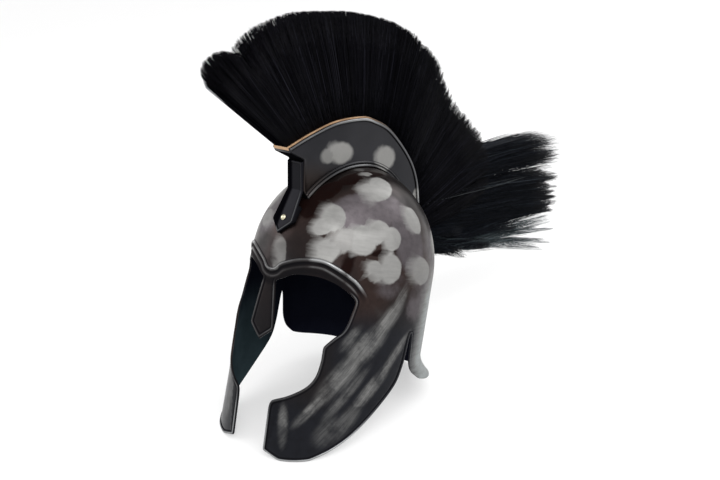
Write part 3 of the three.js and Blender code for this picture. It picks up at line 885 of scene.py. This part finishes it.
def plateMarks(points):  # the same closeness as on the skull, on the flat plates
    def measure(patch):
        across, up = points[:, 1] - patch["y"], points[:, 2] - patch["z"]
        far = np.hypot(across / (patch["long"] / 2), up / (patch["tall"] / 2))
        return 1.5 - far, 0.4 * smoothStep(-across / patch["tall"] * 2, 0.0, 1.1)

    return dict(zip(buffedMarks, nearestPatch(points, holder["patches"], measure)))


def slateSteel():
    f = Finish("slateSteel", Metallic=0.94, Coat_Weight=0.04, Coat_Roughness=0.15, Specular_IOR_Level=0.2)
    fine = f.noise(140.0, 4.0, 0.6)
    slate = f.mix(f.noise(12.0, 3.0).ramp(0.3, 0.7), *holder["slate"])
    slate = f.mix(f.mark("browned"), slate, holder["brown"])
    bare = f.blobs((f.noise(75.0, 3.0) - 0.5) * (f.mark("trailing") + 0.35), 0.36)
    color = f.mix(bare, slate, holder["buffed"])
    # Beads are worn bright and carry a painted highlight; grooves are painted dark as shade.
    color = f.mix(f.mark("raised").ramp(0.7, 1.5) * f.mark("wearAndHighlight"), color, holder["wornHighlight"])
    return f.feed(
        Base_Color=f.mix(f.mark("shadedGrooves"), color, steelLook["grooveShade"]),
        Roughness=bare.line(0.0, 1.0, 0.3, 0.52) + fine.line(0.2, 0.8, -0.05, 0.08),
        Normal=f.bump(fine, 0.15, 0.0003),
    )


def paintedShadeBlack():  # the prong's underside and the front wall in matt black, painted shade where they face forward and down
    f = Finish("paintedShadeBlack", Specular_IOR_Level=0.0, Roughness=0.8)
    return f.feed(Base_Color=f.mix(f.noise(60.0, 3.0), *holder["wallShade"]))


def makeHolder(slate, black):
    h = holder
    footY = np.linspace(h["front"][0][0] + 1.5, h["footTo"], 80)
    foot = np.column_stack([footY, skullTop(h["half"], footY) + h["footClear"]])
    foot = foot[foot[:, 1] > 232]
    front = respace([(foot[0, 0] - 0.4, foot[0, 1] + 1.0)] + h["front"][1:], 1.5)
    tail = respace([(108.5, 228.2), (foot[-1, 0], 229)], 1.8)
    rimEdge, footEdge = respace(rimCurve(), 1.8), respace(foot[::-1], 1.8)
    outline = np.vstack([line[:-1] for line in (rimEdge, tail, footEdge, front)])
    reliefs = [
        {"line": line, "inward": -1, **h[key]}
        for key, line in (("rimBead", rimEdge), ("footBeads", footEdge), ("frontBead", front))
    ]
    flat, faces, lifts, grooveShaded, rim = reliefPanel(outline, reliefs, h["spacing"])
    points = np.column_stack([h["half"] + lifts, flat])
    # The front wall and the prong's underside take the matt black of painted shade.
    frontWall = [bool(flat[a, 0] < -91 and nearest(front, flat[[a, b]])[0].max() < 0.5) for a, b in rim]
    # Beads worn and given a painted highlight along the rim and the foot.
    nearRim = nearest(rimEdge, flat)[0] < 8
    byRim, byFoot = (np.interp(flat[:, 0], h["wearAndHighlightAt"], h[key]) for key in ("rimWearAndHighlight", "footWearAndHighlight"))
    marks = {
        **plateMarks(points),
        "raised": lifts,
        "shadedGrooves": grooveShaded,
        "wearAndHighlight": np.where(nearRim, byRim, byFoot),
        "browned": smoothStep(flat[:, 0], -40, -85) * smoothStep(flat[:, 1], 322, 292),
    }
    piece = makePiece(
        "crestHolder", stand(np.vstack([points, points * (-1, 1, 1)])), bothSkins(faces, rim, len(flat)),
        [slate, black], ["crest_holder"], [0] * 2 * len(faces) + [int(w) for w in frontWall],
        marks={name: np.tile(held, 2) for name, held in marks.items()},
    )
    sharpen(piece, 40)
    print("holder:", len(piece.data.polygons), "faces")


# The copper-coloured strip that the hair stands on.
strip = {
    "half": 11.2,
    "depth": 2.4,
    "rise": 1.7,
    "round": 0.7,
    "to": 0.93,
    "aged": (0.3, 0.52),
    "copper": [(0.47, 0.30, 0.175), (0.25, 0.15, 0.085)],
    "agedCopper": (0.05, 0.045, 0.042),
}


def copperStrip():
    f = Finish("copperStrip", Metallic=0.75)
    stain = f.noise(45.0)
    color = f.mix(stain.ramp(0.35, 0.7), *strip["copper"])
    return f.feed(Base_Color=f.mix(f.mark("aged"), color, strip["agedCopper"]),
                  Roughness=stain.line(0.2, 0.8, 0.34, 0.55))


def makeStrip(copper):
    s = strip
    line = respace(rimCurve(), 2.0)
    share = np.linspace(0, 1, len(line))
    kept = share <= s["to"]
    line, share = line[kept], share[kept]
    half, top, r = s["half"], s["rise"], s["round"]
    rounded = [(half - r + r * math.cos(a), top - r + r * math.sin(a)) for a in (0.5, 1.0, 1.57)]
    section = [(-half, -s["depth"]), (half, -s["depth"]), (half, top - r), *rounded]
    section += [(-x, z) for x, z in reversed(rounded)] + [(-half, top - r)]
    points = []
    for p, n in zip(line, leftOf(line)):
        points += [(x, p[0] + n[0] * z, p[1] + n[1] * z) for x, z in section]
    faces = tubeFaces(len(line), len(section), capped=True, turned=True)
    piece = makePiece("crestStrip", stand(points), faces, [copper], ["crest_base_block"],
                      marks={"aged": np.repeat(smoothStep(share, *s["aged"]), len(section))})
    sharpen(piece, 50)


strap = {
    "tip": (-116.6, 235.5),
    "bend": (-98.7, 283),
    "top": (-104.3, 314.1),
    "sheet": 1.5,
    "outline": [(0, 235.5), (15, 249), (11.4, 283), (11.4, 314)],
    "spacing": 2.0,
    "upperLean": -0.17,
    "skullGap": 0.4,
    "closedTo": 266,  # below this the strap's back is filled down to the skull
    # Where the painted shade on the strap's left gives way to its lit right side.
    "lit": (-5.5, -3),
    "edgeBead": {
        "across": [0, 0.35, 0.9, 1.5, 2.1, 2.8, 3.6],
        "rise": [-0.5, 0.3, 0.75, 0.8, 0.4, -0.1, 0],
        "grooveShade": [0.3, 0, 0, 0, 0.5, 1, 0.2],
        "isEdge": True,
    },
    "wearAndHighlightAt": [235, 270, 284, 314],
    "wearAndHighlight": [0.45, 0.5, 0.12, 0.0],
    # The strap's painted shade on the left and lit colour on the right, its bead's painted highlight and the
    # painted shade in its groove.
    "black": [(0.0012, 0.0012, 0.0020), (0.0115, 0.0113, 0.0140)],
    "wornHighlight": (0.10, 0.104, 0.108),
    "grooveShaded": (0.002, 0.002, 0.0025),
}
rivet = {
    "z": 252.6,
    "sunk": 0.2,
    "around": 32,
    "profile": [
        (0, 0), (3.1, 0), (3.2, 0.35), (2.9, 0.6), (2.7, 0.7),
        (2.5, 1.1), (2.1, 1.6), (1.4, 1.95), (0.7, 2.1), (0, 2.15),
    ],
    "brass": [(0.72, 0.68, 0.52), (0.4, 0.36, 0.24)],
}


def strapBlack():
    f = Finish("strapBlack", Specular_IOR_Level=0.0)
    # The strap is painted in shade on its left and lit on its right, with a painted highlight on its right
    # edge bead and painted shade in its groove.
    lit = f.mark("lit")
    edge = f.mark("raised").ramp(0.3, 0.8) * f.mark("wearAndHighlight")
    color = f.mix(edge, f.mix(lit, *strap["black"]), strap["wornHighlight"])
    return f.feed(Base_Color=f.mix(f.mark("shadedGrooves"), color, strap["grooveShaded"]), Metallic=lit * 0.9,
                  Roughness=f.noise(25.0, 3.0).line(0.2, 0.8, 0.36, 0.48))


def strapY(z):
    ends = np.array([strap["tip"], strap["bend"], strap["top"]])
    return np.interp(z, ends[:, 1], ends[:, 0])


def makeStrap(black):
    s = strap
    right = respace(s["outline"], 1.5)
    left = right[::-1] * (-1, 1)
    outline = np.vstack([right, respace([right[-1], left[0]], 1.5)[1:-1], left[:-1]])
    outline = soften(closed(outline), 1)[:-1]
    reliefs = [{"line": closed(outline), **s["edgeBead"]}]
    flat, faces, lifts, grooveShaded, rim = reliefPanel(outline, reliefs, s["spacing"])
    x, z = flat.T
    nz = np.where(z < s["bend"][1], strapY(241.0) - strapY(240.0), s["upperLean"])
    normal = unit(np.column_stack([np.zeros(len(flat)), np.full(len(flat), -1.0), nz]))
    base = np.column_stack([x, strapY(z), z])
    outer = base + normal * (s["sheet"] + lifts)[:, None]
    shrink = domeShare(np.clip((z - skull["shoulder"]) / domeTall, -1, 0.999))
    power = shoulderPlan["squareness"]
    near = np.clip(1 - (np.abs(x) / (shoulderPlan["side"] * shrink)) ** power, 0, 1)
    skullY = -shoulderPlan["front"] * shrink * near ** (1 / power) - s["skullGap"]
    behind = np.maximum(np.minimum(skullY, base[:, 1] + 18), base[:, 1] + 0.1)
    behind = np.where(z > s["closedTo"], base[:, 1] + 0.1, behind)
    # Painted shade on the strap's left, giving way to its lit right side.
    lit = smoothStep(x, *s["lit"])
    nothing = np.zeros(len(flat))
    piece = makePiece("frontStrap", stand(np.vstack([outer, np.column_stack([x, behind, z])])),
                      bothSkins(faces, rim, len(flat)), [black], ["front_strap"],
                      marks={"raised": np.concatenate([lifts, nothing]),
                             "shadedGrooves": np.concatenate([grooveShaded, nothing]), "lit": np.tile(lit, 2),
                             "wearAndHighlight": np.tile(lit * np.interp(z, s["wearAndHighlightAt"], s["wearAndHighlight"]), 2)})
    sharpen(piece, 50)


def paleBrass():
    f = Finish("paleBrass", Metallic=0.9)
    stain = f.noise(400.0, 3.0)
    return f.feed(Base_Color=f.mix(stain, *rivet["brass"]), Roughness=stain.line(0.2, 0.8, 0.25, 0.5))


def makeRivet(brass):
    slope = (strap["bend"][1] - strap["tip"][1]) / (strap["bend"][0] - strap["tip"][0])
    out = unit(np.array([0, -slope, 1.0]))
    side = np.array([1, 0, 0])
    up = np.cross(out, side)
    foot = np.array([0, float(strapY(rivet["z"])) - strap["sheet"] - rivet["sunk"], rivet["z"]])
    turns = np.arange(rivet["around"]) / rivet["around"] * 2 * math.pi
    points = [foot + out * h + side * r * math.cos(a) + up * r * math.sin(a)
              for r, h in rivet["profile"] for a in turns]
    faces = tubeFaces(len(rivet["profile"]), rivet["around"])
    piece = makePiece("strapRivet", stand(points), faces, [brass], ["front_rivet"], weld=2e-6)

    def clean(bm):
        bmesh.ops.dissolve_degenerate(bm, dist=1e-7, edges=bm.edges)
        bmesh.ops.recalc_face_normals(bm, faces=bm.faces)

    editMesh(piece.data, clean)


crest = {
    # Where the hair ends, by its root's place from the front to the back of the rim.
    "fan": named("root y z", [
        (0.0, -226, 377),
        (0.012, -235, 390),
        (0.026, -233, 401),
        (0.042, -223, 411),
        (0.056, -211, 413),
        (0.066, -204, 402),
        (0.078, -201, 413),
        (0.092, -198, 424),
        (0.14, -175, 445),
        (0.2, -140, 462),
        (0.28, -98, 472),
        (0.36, -53, 479),
        (0.44, -7, 480),
        (0.52, 33, 476),
        (0.6, 69, 464),
        (0.67, 101, 447),
        (0.74, 126, 420),
        (0.79, 154, 399),
        (0.84, 189, 383),
        (0.885, 216, 367),
        (0.925, 234, 347),
        (0.965, 248, 312),
        (1.0, 236, 286),
    ]),
    "rootHalf": 9.6,
    "tipHalf": 15,
    "thick": 0.3,  # half a hair bundle's thickness
    "hairsEach": 7400,
    "rings": 4,
    "sections": ["A", "B", "C"],
    "tufts": 190,
    "layers": 6,
    "frontExtra": 0.14,  # share of the first section's hairs that thicken the front
    "gather": 0.45,  # how far a tuft's hairs keep apart at their ends
    "apart": 0.85,  # the same at the front
    "lean": 0.0018,
    "sideLean": 0.12,
    "stray": 0.0014,
    "uneven": 0.006,
    "curl": 2.3,
    "seed": 11,
}
heart = {  # a solid under the hair that keeps light from passing through it
    "section": [(0, 8.6), (0.15, 8.8), (0.3, 9.2), (0.5, 9.6), (0.7, 9.4), (0.84, 7.5), (0.92, 3)],
    "to": 0.985,
    "count": 90,
    "frontNarrow": 0.7,
    "shade": (0.0008, 0.0008, 0.0012),
}
# Hair colours from the darkest to the light ones and the few palest.
crestHair = [(0.0008, 0.0008, 0.0013), (0.0047, 0.0047, 0.0070), (0.017, 0.017, 0.024)]
tailHair = [(0.0013, 0.0018, 0.0030), (0.0110, 0.0132, 0.0190), (0.046, 0.056, 0.068)]
wispHair = [(0.018, 0.025, 0.028), (0.12, 0.155, 0.168), (0.28, 0.32, 0.34)]
paleHair = [(0.03, 0.033, 0.036), (0.13, 0.145, 0.15), (0.25, 0.27, 0.28)]


def horsehair(name, colors):
    dark, light, pale = colors
    f = Finish(name, Specular_IOR_Level=0.03)
    strand = f.split(f.wall())[0]
    own, tuft = (
        f.node("ShaderNodeTexWhiteNoise", {"W": number}, "Value", noise_dimensions="1D")
        for number in (strand, f.math("FLOOR", strand))
    )
    color = f.mix((tuft * 0.65 + 0.35) * own, dark, light)
    return f.feed(Base_Color=f.mix(own.ramp(0.93, 1.0), color, pale),
                  Roughness=own.line(0.0, 1.0, 0.34, 0.55))


def makeStrands(name, paths, tufts, thick, hair, replaces=()):
    # paths: hairs x rings x 3, upright millimetres; each hair is a three-sided spike.
    # tufts: the tuft that each hair belongs to.
    hairs, rings, _ = paths.shape
    run = unit(np.gradient(paths, axis=1))
    sideways = unit(np.cross(run, np.array([0.31, 0.12, 0.94])))
    third = np.cross(run, sideways)
    share = np.linspace(0, 1, rings)
    girth = thick * (1 - 0.7 * share**4)[None, :, None]
    corners = [paths + (sideways * math.cos(a) + third * math.sin(a)) * girth
               for a in np.arange(3) / 3 * 2 * math.pi]
    points = np.stack(corners, axis=2).reshape(-1, 3)
    each = rings * 3
    sides = np.array(tubeFaces(rings, 3))
    caps = np.array([[2, 1, 0], [each - 3, each - 2, each - 1]])
    starts = (np.arange(hairs) * each)[:, None, None]
    faces = (sides[None] + starts).reshape(-1, 4).tolist() + (caps[None] + starts).reshape(-1, 3).tolist()
    own = tufts + 0.04 + 0.92 * (np.arange(hairs) * 0.618 % 1)
    uvs = np.column_stack([np.repeat(own, each), np.tile(np.repeat(share, 3), hairs)])
    makePiece(name, stand(points), faces, [hair], replaces, uvs=uvs)
    print(name, "hairs", hairs, "triangles", hairs * (len(sides) * 2 + 2))


def crestRoots(share):  # where hair is rooted at these shares of the rim's length
    rim = respace(rimCurve(), 2.0)
    line = (rim + leftOf(rim) * 1.2)[: int(len(rim) * 0.985)]
    at = np.asarray(share) * (len(line) - 1)
    return np.column_stack([np.interp(at, np.arange(len(line)), line[:, k]) for k in (0, 1)])


def crestPaths(random, low, high):
    c = crest
    count = c["hairsEach"]
    place = random.uniform(low, high, count)
    if low == 0:
        extra = int(count * c["frontExtra"])
        place[:extra] = random.uniform(0, 0.05, extra)
    place = np.sort(place)
    across = random.uniform(-1, 1, count)
    root = crestRoots(place)
    # Hairs gather in small pointed tufts, and each tuft leans its own way.
    layer = np.clip(((across + 1) / 2 * c["layers"]).astype(int), 0, c["layers"] - 1)
    shifted = place * c["tufts"] + layer * 0.37
    row = np.floor(shifted).astype(int)
    fromMiddle = shifted - row - 0.5
    tufts = row * c["layers"] + layer
    cells = (c["tufts"] + 4) * c["layers"]
    lean = random.normal(0, c["lean"], cells)[tufts] * (0.35 + 0.65 * smoothStep(place, 0.35, 0.6))
    length = random.normal(0, 1, cells)[tufts]
    sideLean = random.normal(0, c["sideLean"], cells)[tufts]
    edge = 0.15 + 0.85 * smoothStep(place, 0.02, 0.12)
    rough = 0.004 + 0.019 * smoothStep(place, 0.5, 0.75)
    apart = c["apart"] + (c["gather"] - c["apart"]) * smoothStep(place, 0.3, 0.6)
    drift = fromMiddle * (apart - 1) / c["tufts"] + lean + random.normal(0, c["stray"], count)
    tip = np.clip(place + drift * edge, 0, 1)
    run = np.column_stack([column(c["fan"], key, tip) for key in ("y", "z")]) - root
    reach = 1 + rough * (np.minimum(length, 1) - 1 - 4.5 * fromMiddle**2)
    reach = np.clip(reach - np.abs(random.normal(0, c["uneven"], count)) - 0.05 * across**4, 0.7, 1.0)
    t = np.linspace(0, 1, c["rings"])
    away = unit(np.column_stack([-run[:, 1], run[:, 0]]))
    curl = random.normal(0, c["curl"], count) * edge * smoothStep(place, -0.01, 0.02)
    alongHair = (run * reach[:, None])[:, None] * t[:, None]
    yz = root[:, None] + alongHair + away[:, None] * (curl[:, None] * np.sin(t * math.pi))[..., None]
    swell = np.clip(across * 1.12 + sideLean + random.normal(0, 0.06, count), -1, 1)
    rootX = across * c["rootHalf"]
    x = rootX[:, None] + (swell * c["tipHalf"] - rootX)[:, None] * t**0.8
    return np.dstack([x, yz]), tufts


def makeCrest(hair):
    c = crest
    random = np.random.default_rng(c["seed"])
    for k, section in enumerate(c["sections"]):
        paths, tufts = crestPaths(random, k / len(c["sections"]), (k + 1) / len(c["sections"]))
        makeStrands("crestHair" + section, paths, tufts, c["thick"], hair, ["crest_plume"] if k == 0 else ())


def makeHeart():
    shade = Finish("hairShade", Base_Color=heart["shade"], Specular_IOR_Level=0.0, Roughness=0.9).material
    share = np.linspace(0.0, heart["to"], heart["count"])
    root = crestRoots(share)
    tip = np.column_stack([column(crest["fan"], key, share) for key in ("y", "z")])
    ring = heart["section"] + [(out, -half) for out, half in reversed(heart["section"])]
    narrow = heart["frontNarrow"] + (1 - heart["frontNarrow"]) * smoothStep(share, 0, 0.03)
    points = [(half * n, *(r + (t - r) * out)) for r, t, n in zip(root, tip, narrow) for out, half in ring]
    faces = tubeFaces(len(share), len(ring), capped=True)
    makePiece("crestHeart", stand(points), faces, [shade])


# The locks of the tail, by where their tips lie, how tall they spread, and how they
# rise: below 1 they rise at the root, above 1 near the tip.
lockColumns = "y z tall rise sag wisps loose hairs rootZ fray outside"
upperLocks = named(lockColumns, [
    (384, 378, 6, 0.52, 0, 20, 2.2, 230, None, 55),
    (403, 370, 8, 0.58, 0, 30, 1.7, 560, None, 55),
    (412, 352, 9, 0.62, 0, 36, 1.5, 900, None, 40),
    (402, 338, 6, 0.68, 0, 12, 1.8, 110, None, 30),
    (412, 320, 8, 0.76, 0, 34, 1.4, 1000, None, 22),
    (408, 301, 12, 0.85, 0, 50, 1.0, 1450),
])
lowerLocks = named(lockColumns, [
    (416, 281, 12, 1.0, 3, 50, 1.0, 1450),
    (420, 275, 3, 1.3, 10, 12, 1.2, 420, 230),
    (330, 248, 6, 1.3, 10, 20, 2.5, 420, 228),
    (270, 221, 7, 1.0, 10, 20, 2.0, 800),
    (205, 211, 4, 1.0, 6, 16, 2.5, 500),
    (200, 238, 9, 1.0, 2, 14, 3.0, 420, 238),
])
wispLocks = named(lockColumns, [  # thin wisps under them, that the light comes through
    (420, 262, 4, 1.8, 16, 12, 1.8, 80, 232),
    (424, 253, 4, 1.8, 14, 11, 1.8, 75, 230),
    (430, 243, 2, 1.8, 12, 4, 0.7, 120, 228),
    (398, 234, 2, 1.7, 11, 3, 0.9, 45, 228),
    (432, 222, 3, 1.6, 10, 5, 0.8, 110, 226),
    (428, 211, 3, 1.4, 8, 6, 1.2, 70, 226),
    (310, 224, 9, 1.4, 8, 14, 1.5, 110, 226, 30),
])
paleLocks = named(lockColumns, [  # a few light strands lying over the dark
    (335, 317, 1.5, 1.0, 0, 2, 0.4, 4, 270, None, 17),
])
tail = {
    # The form that the tail keeps within.
    "form": named("y top low half", [
        (100, 300, 212, 10),
        (130, 318, 204, 13),
        (160, 332, 202, 18),
        (200, 344, 203, 21),
        (238, 353, 206, 23),
        (276, 363, 208, 25),
        (323, 375, 208, 25),
        (373, 388, 206, 24),
        (399, 381, 205, 22),
        (419, 362, 205, 18),
        (440, 300, 205, 14),
    ]),
    "longest": 437,
    "rings": 6,
    "rootHalf": 8.5,
    "rootHeights": (228, 284),  # where the lowest and the highest locks are rooted
    "tipHeights": (215, 380),
    "spread": 17,
    "fray": 9,
    "tipStray": 1.8,
    "waver": (2.2, 0.8),  # once and twice along a hair
    "sideWaver": 2.0,
    "seed": 23,
    "pieces": [
        {"name": "tailHairUpper", "locks": upperLocks, "hair": "dark", "thick": 0.27},
        {"name": "tailHairLower", "locks": lowerLocks, "hair": "dark", "thick": 0.27},
        {"name": "tailWisps", "locks": wispLocks, "hair": "wispy", "thick": 0.1836},
        {"name": "tailPaleStrands", "locks": paleLocks, "hair": "pale", "thick": 0.216},
    ],
}


def lockPaths(random, lock, firstTuft):
    rim = rimCurve()
    behind = rim[rim[:, 0] > 80][::-1]
    count, wisps = lock["hairs"], lock["wisps"]
    rootZ = lock.get("rootZ", np.interp(lock["z"], tail["tipHeights"], tail["rootHeights"]))
    rootZ = np.clip(rootZ + random.normal(0, 4 if "rootZ" in lock else 9, count), 224, 296)
    rootY = np.interp(rootZ, behind[:, 1], behind[:, 0]) + 0.5
    outside = lock.get("outside")
    rootX = (np.ones(count) if outside else random.uniform(-1, 1, count)) * tail["rootHalf"]
    wisp = random.integers(0, wisps, count)
    middle = (np.arange(wisps) + 0.5) / wisps * 2 - 1
    wispX = np.full(wisps, outside) if outside else random.uniform(-1, 1, wisps) * tail["spread"]
    wispZ = middle * lock["tall"] + random.normal(0, 0.8, wisps)
    wispY = random.normal(-2, 6, wisps)
    tipX = wispX[wisp] + random.normal(0, tail["tipStray"], count)
    tipZ = lock["z"] + wispZ[wisp] + random.normal(0, lock["loose"], count)
    tipY = lock["y"] + wispY[wisp] - np.abs(random.normal(0, lock.get("fray", tail["fray"]), count)) + 5
    t = np.linspace(0, 1, tail["rings"])[None, :]
    x, y = (root[:, None] + (tip - root)[:, None] * t for root, tip in ((rootX, tipX), (rootY, tipY)))
    z = rootZ[:, None] + (tipZ - rootZ)[:, None] * t ** lock["rise"]
    z = z - lock["sag"] * np.sin(np.minimum(t * 1.6, 1) * math.pi)
    for times, waver in enumerate(tail["waver"], 1):
        z = z + random.normal(0, waver, (count, 1)) * np.sin(times * t * math.pi)
    x = x + random.normal(0, tail["sideWaver"], (count, 1)) * np.sin(t * math.pi)
    top, low, half = (column(tail["form"], key, y) for key in ("top", "low", "half"))
    kept = [np.clip(x, -half, half), np.minimum(y, tail["longest"]), np.clip(z, low + 0.5, top - 0.5)]
    return np.stack(kept, axis=-1), wisp + firstTuft


def makeTail(hairs):
    random = np.random.default_rng(tail["seed"])
    firstTuft = 0
    for piece in tail["pieces"]:
        held = []
        for lock in piece["locks"]:
            held.append(lockPaths(random, lock, firstTuft))
            firstTuft += lock["wisps"]
        paths, tufts = (np.concatenate(part) for part in zip(*held))
        replaces = ["crest_tail"] if piece["locks"] is upperLocks else ()
        makeStrands(piece["name"], paths, tufts, piece["thick"], hairs[piece["hair"]], replaces)


room = {
    "reach": 14,
    "floor": [(0.43, 0.43, 0.43), (0.42, 0.42, 0.42)],
    "softboxes": [
        {"name": "keySoftbox", "at": (1.4, -0.6, 2.2), "size": (1.8, 1.8), "power": 36},
        {"name": "fillSoftbox", "at": (-1.6, -1.2, 1.2), "size": (1.6, 1.2), "power": 14},
        {"name": "backSoftbox", "at": (0.6, 2.0, 1.6), "size": (1.6, 1.0), "power": 20},
    ],
    "lightAim": (0, 0, 0.2),
}
view = {
    "aim": (-0.0435, -0.0636, 0.150),
    "away": 1.150,
    "azimuth": 44.34,
    "elevation": 21.6,
    "roll": -4.98,
    "lens": 46.24,
}


def makeRoom():
    # The floor is a white sweep lit from below.
    f = Finish("paleFloor", Roughness=0.8, Emission_Color=(1, 1, 1), Emission_Strength=0.5)
    f.feed(Base_Color=f.mix(f.noise(3.0, 3.0), *room["floor"]))
    mesh = bpy.data.meshes.new("floor")
    r = room["reach"]
    mesh.from_pydata([(-r, -r, 0), (r, -r, 0), (r, r, 0), (-r, r, 0)], [], [(0, 1, 2, 3)])
    mesh.materials.append(f.material)
    addToScene("floor", mesh)
    world = bpy.data.worlds.new("room")
    world.use_nodes = True
    sky = world.node_tree.nodes["Background"]
    sky.inputs[0].default_value = (1, 1, 1, 1)
    sky.inputs[1].default_value = 1.0
    bpy.context.scene.world = world
    bpy.context.scene.view_settings.view_transform = "Standard"  # white stays white
    for box in room["softboxes"]:
        light = bpy.data.lights.new(box["name"], "AREA")
        light.shape = "RECTANGLE"
        light.size, light.size_y = box["size"]
        light.energy = box["power"]
        lamp = addToScene(box["name"], light)
        lamp.location = box["at"]
        away = Vector(box["at"]) - Vector(room["lightAim"])
        lamp.rotation_euler = away.to_track_quat("Z", "Y").to_euler()


def addCamera():
    a, e = math.radians(view["azimuth"]), math.radians(view["elevation"])
    back = Vector((math.sin(a) * math.cos(e), -math.cos(a) * math.cos(e), math.sin(e)))
    data = bpy.data.cameras.new("camera")
    data.lens = view["lens"]
    data.sensor_width = 36
    camera = addToScene("camera", data)
    camera.location = Vector(view["aim"]) + back * view["away"]
    turn = (-back).to_track_quat("-Z", "Y").to_matrix()
    camera.rotation_euler = (turn @ Matrix.Rotation(math.radians(view["roll"]), 3, "Z")).to_euler()
    bpy.context.scene.camera = camera


addCamera()
makeRoom()
print("room ready")

steel = buffedSteel()
makeShell(steel, liningBlack())
makeHolder(slateSteel(), paintedShadeBlack())
makeStrip(copperStrip())
makeStrap(strapBlack())
makeRivet(paleBrass())
print("metal ready")

makeCrest(horsehair("crestHorsehair", crestHair))
makeHeart()
makeTail({
    "dark": horsehair("tailHorsehair", tailHair),
    "wispy": horsehair("wispyHorsehair", wispHair),
    "pale": horsehair("paleHorsehair", paleHair),
})
print("hair ready")
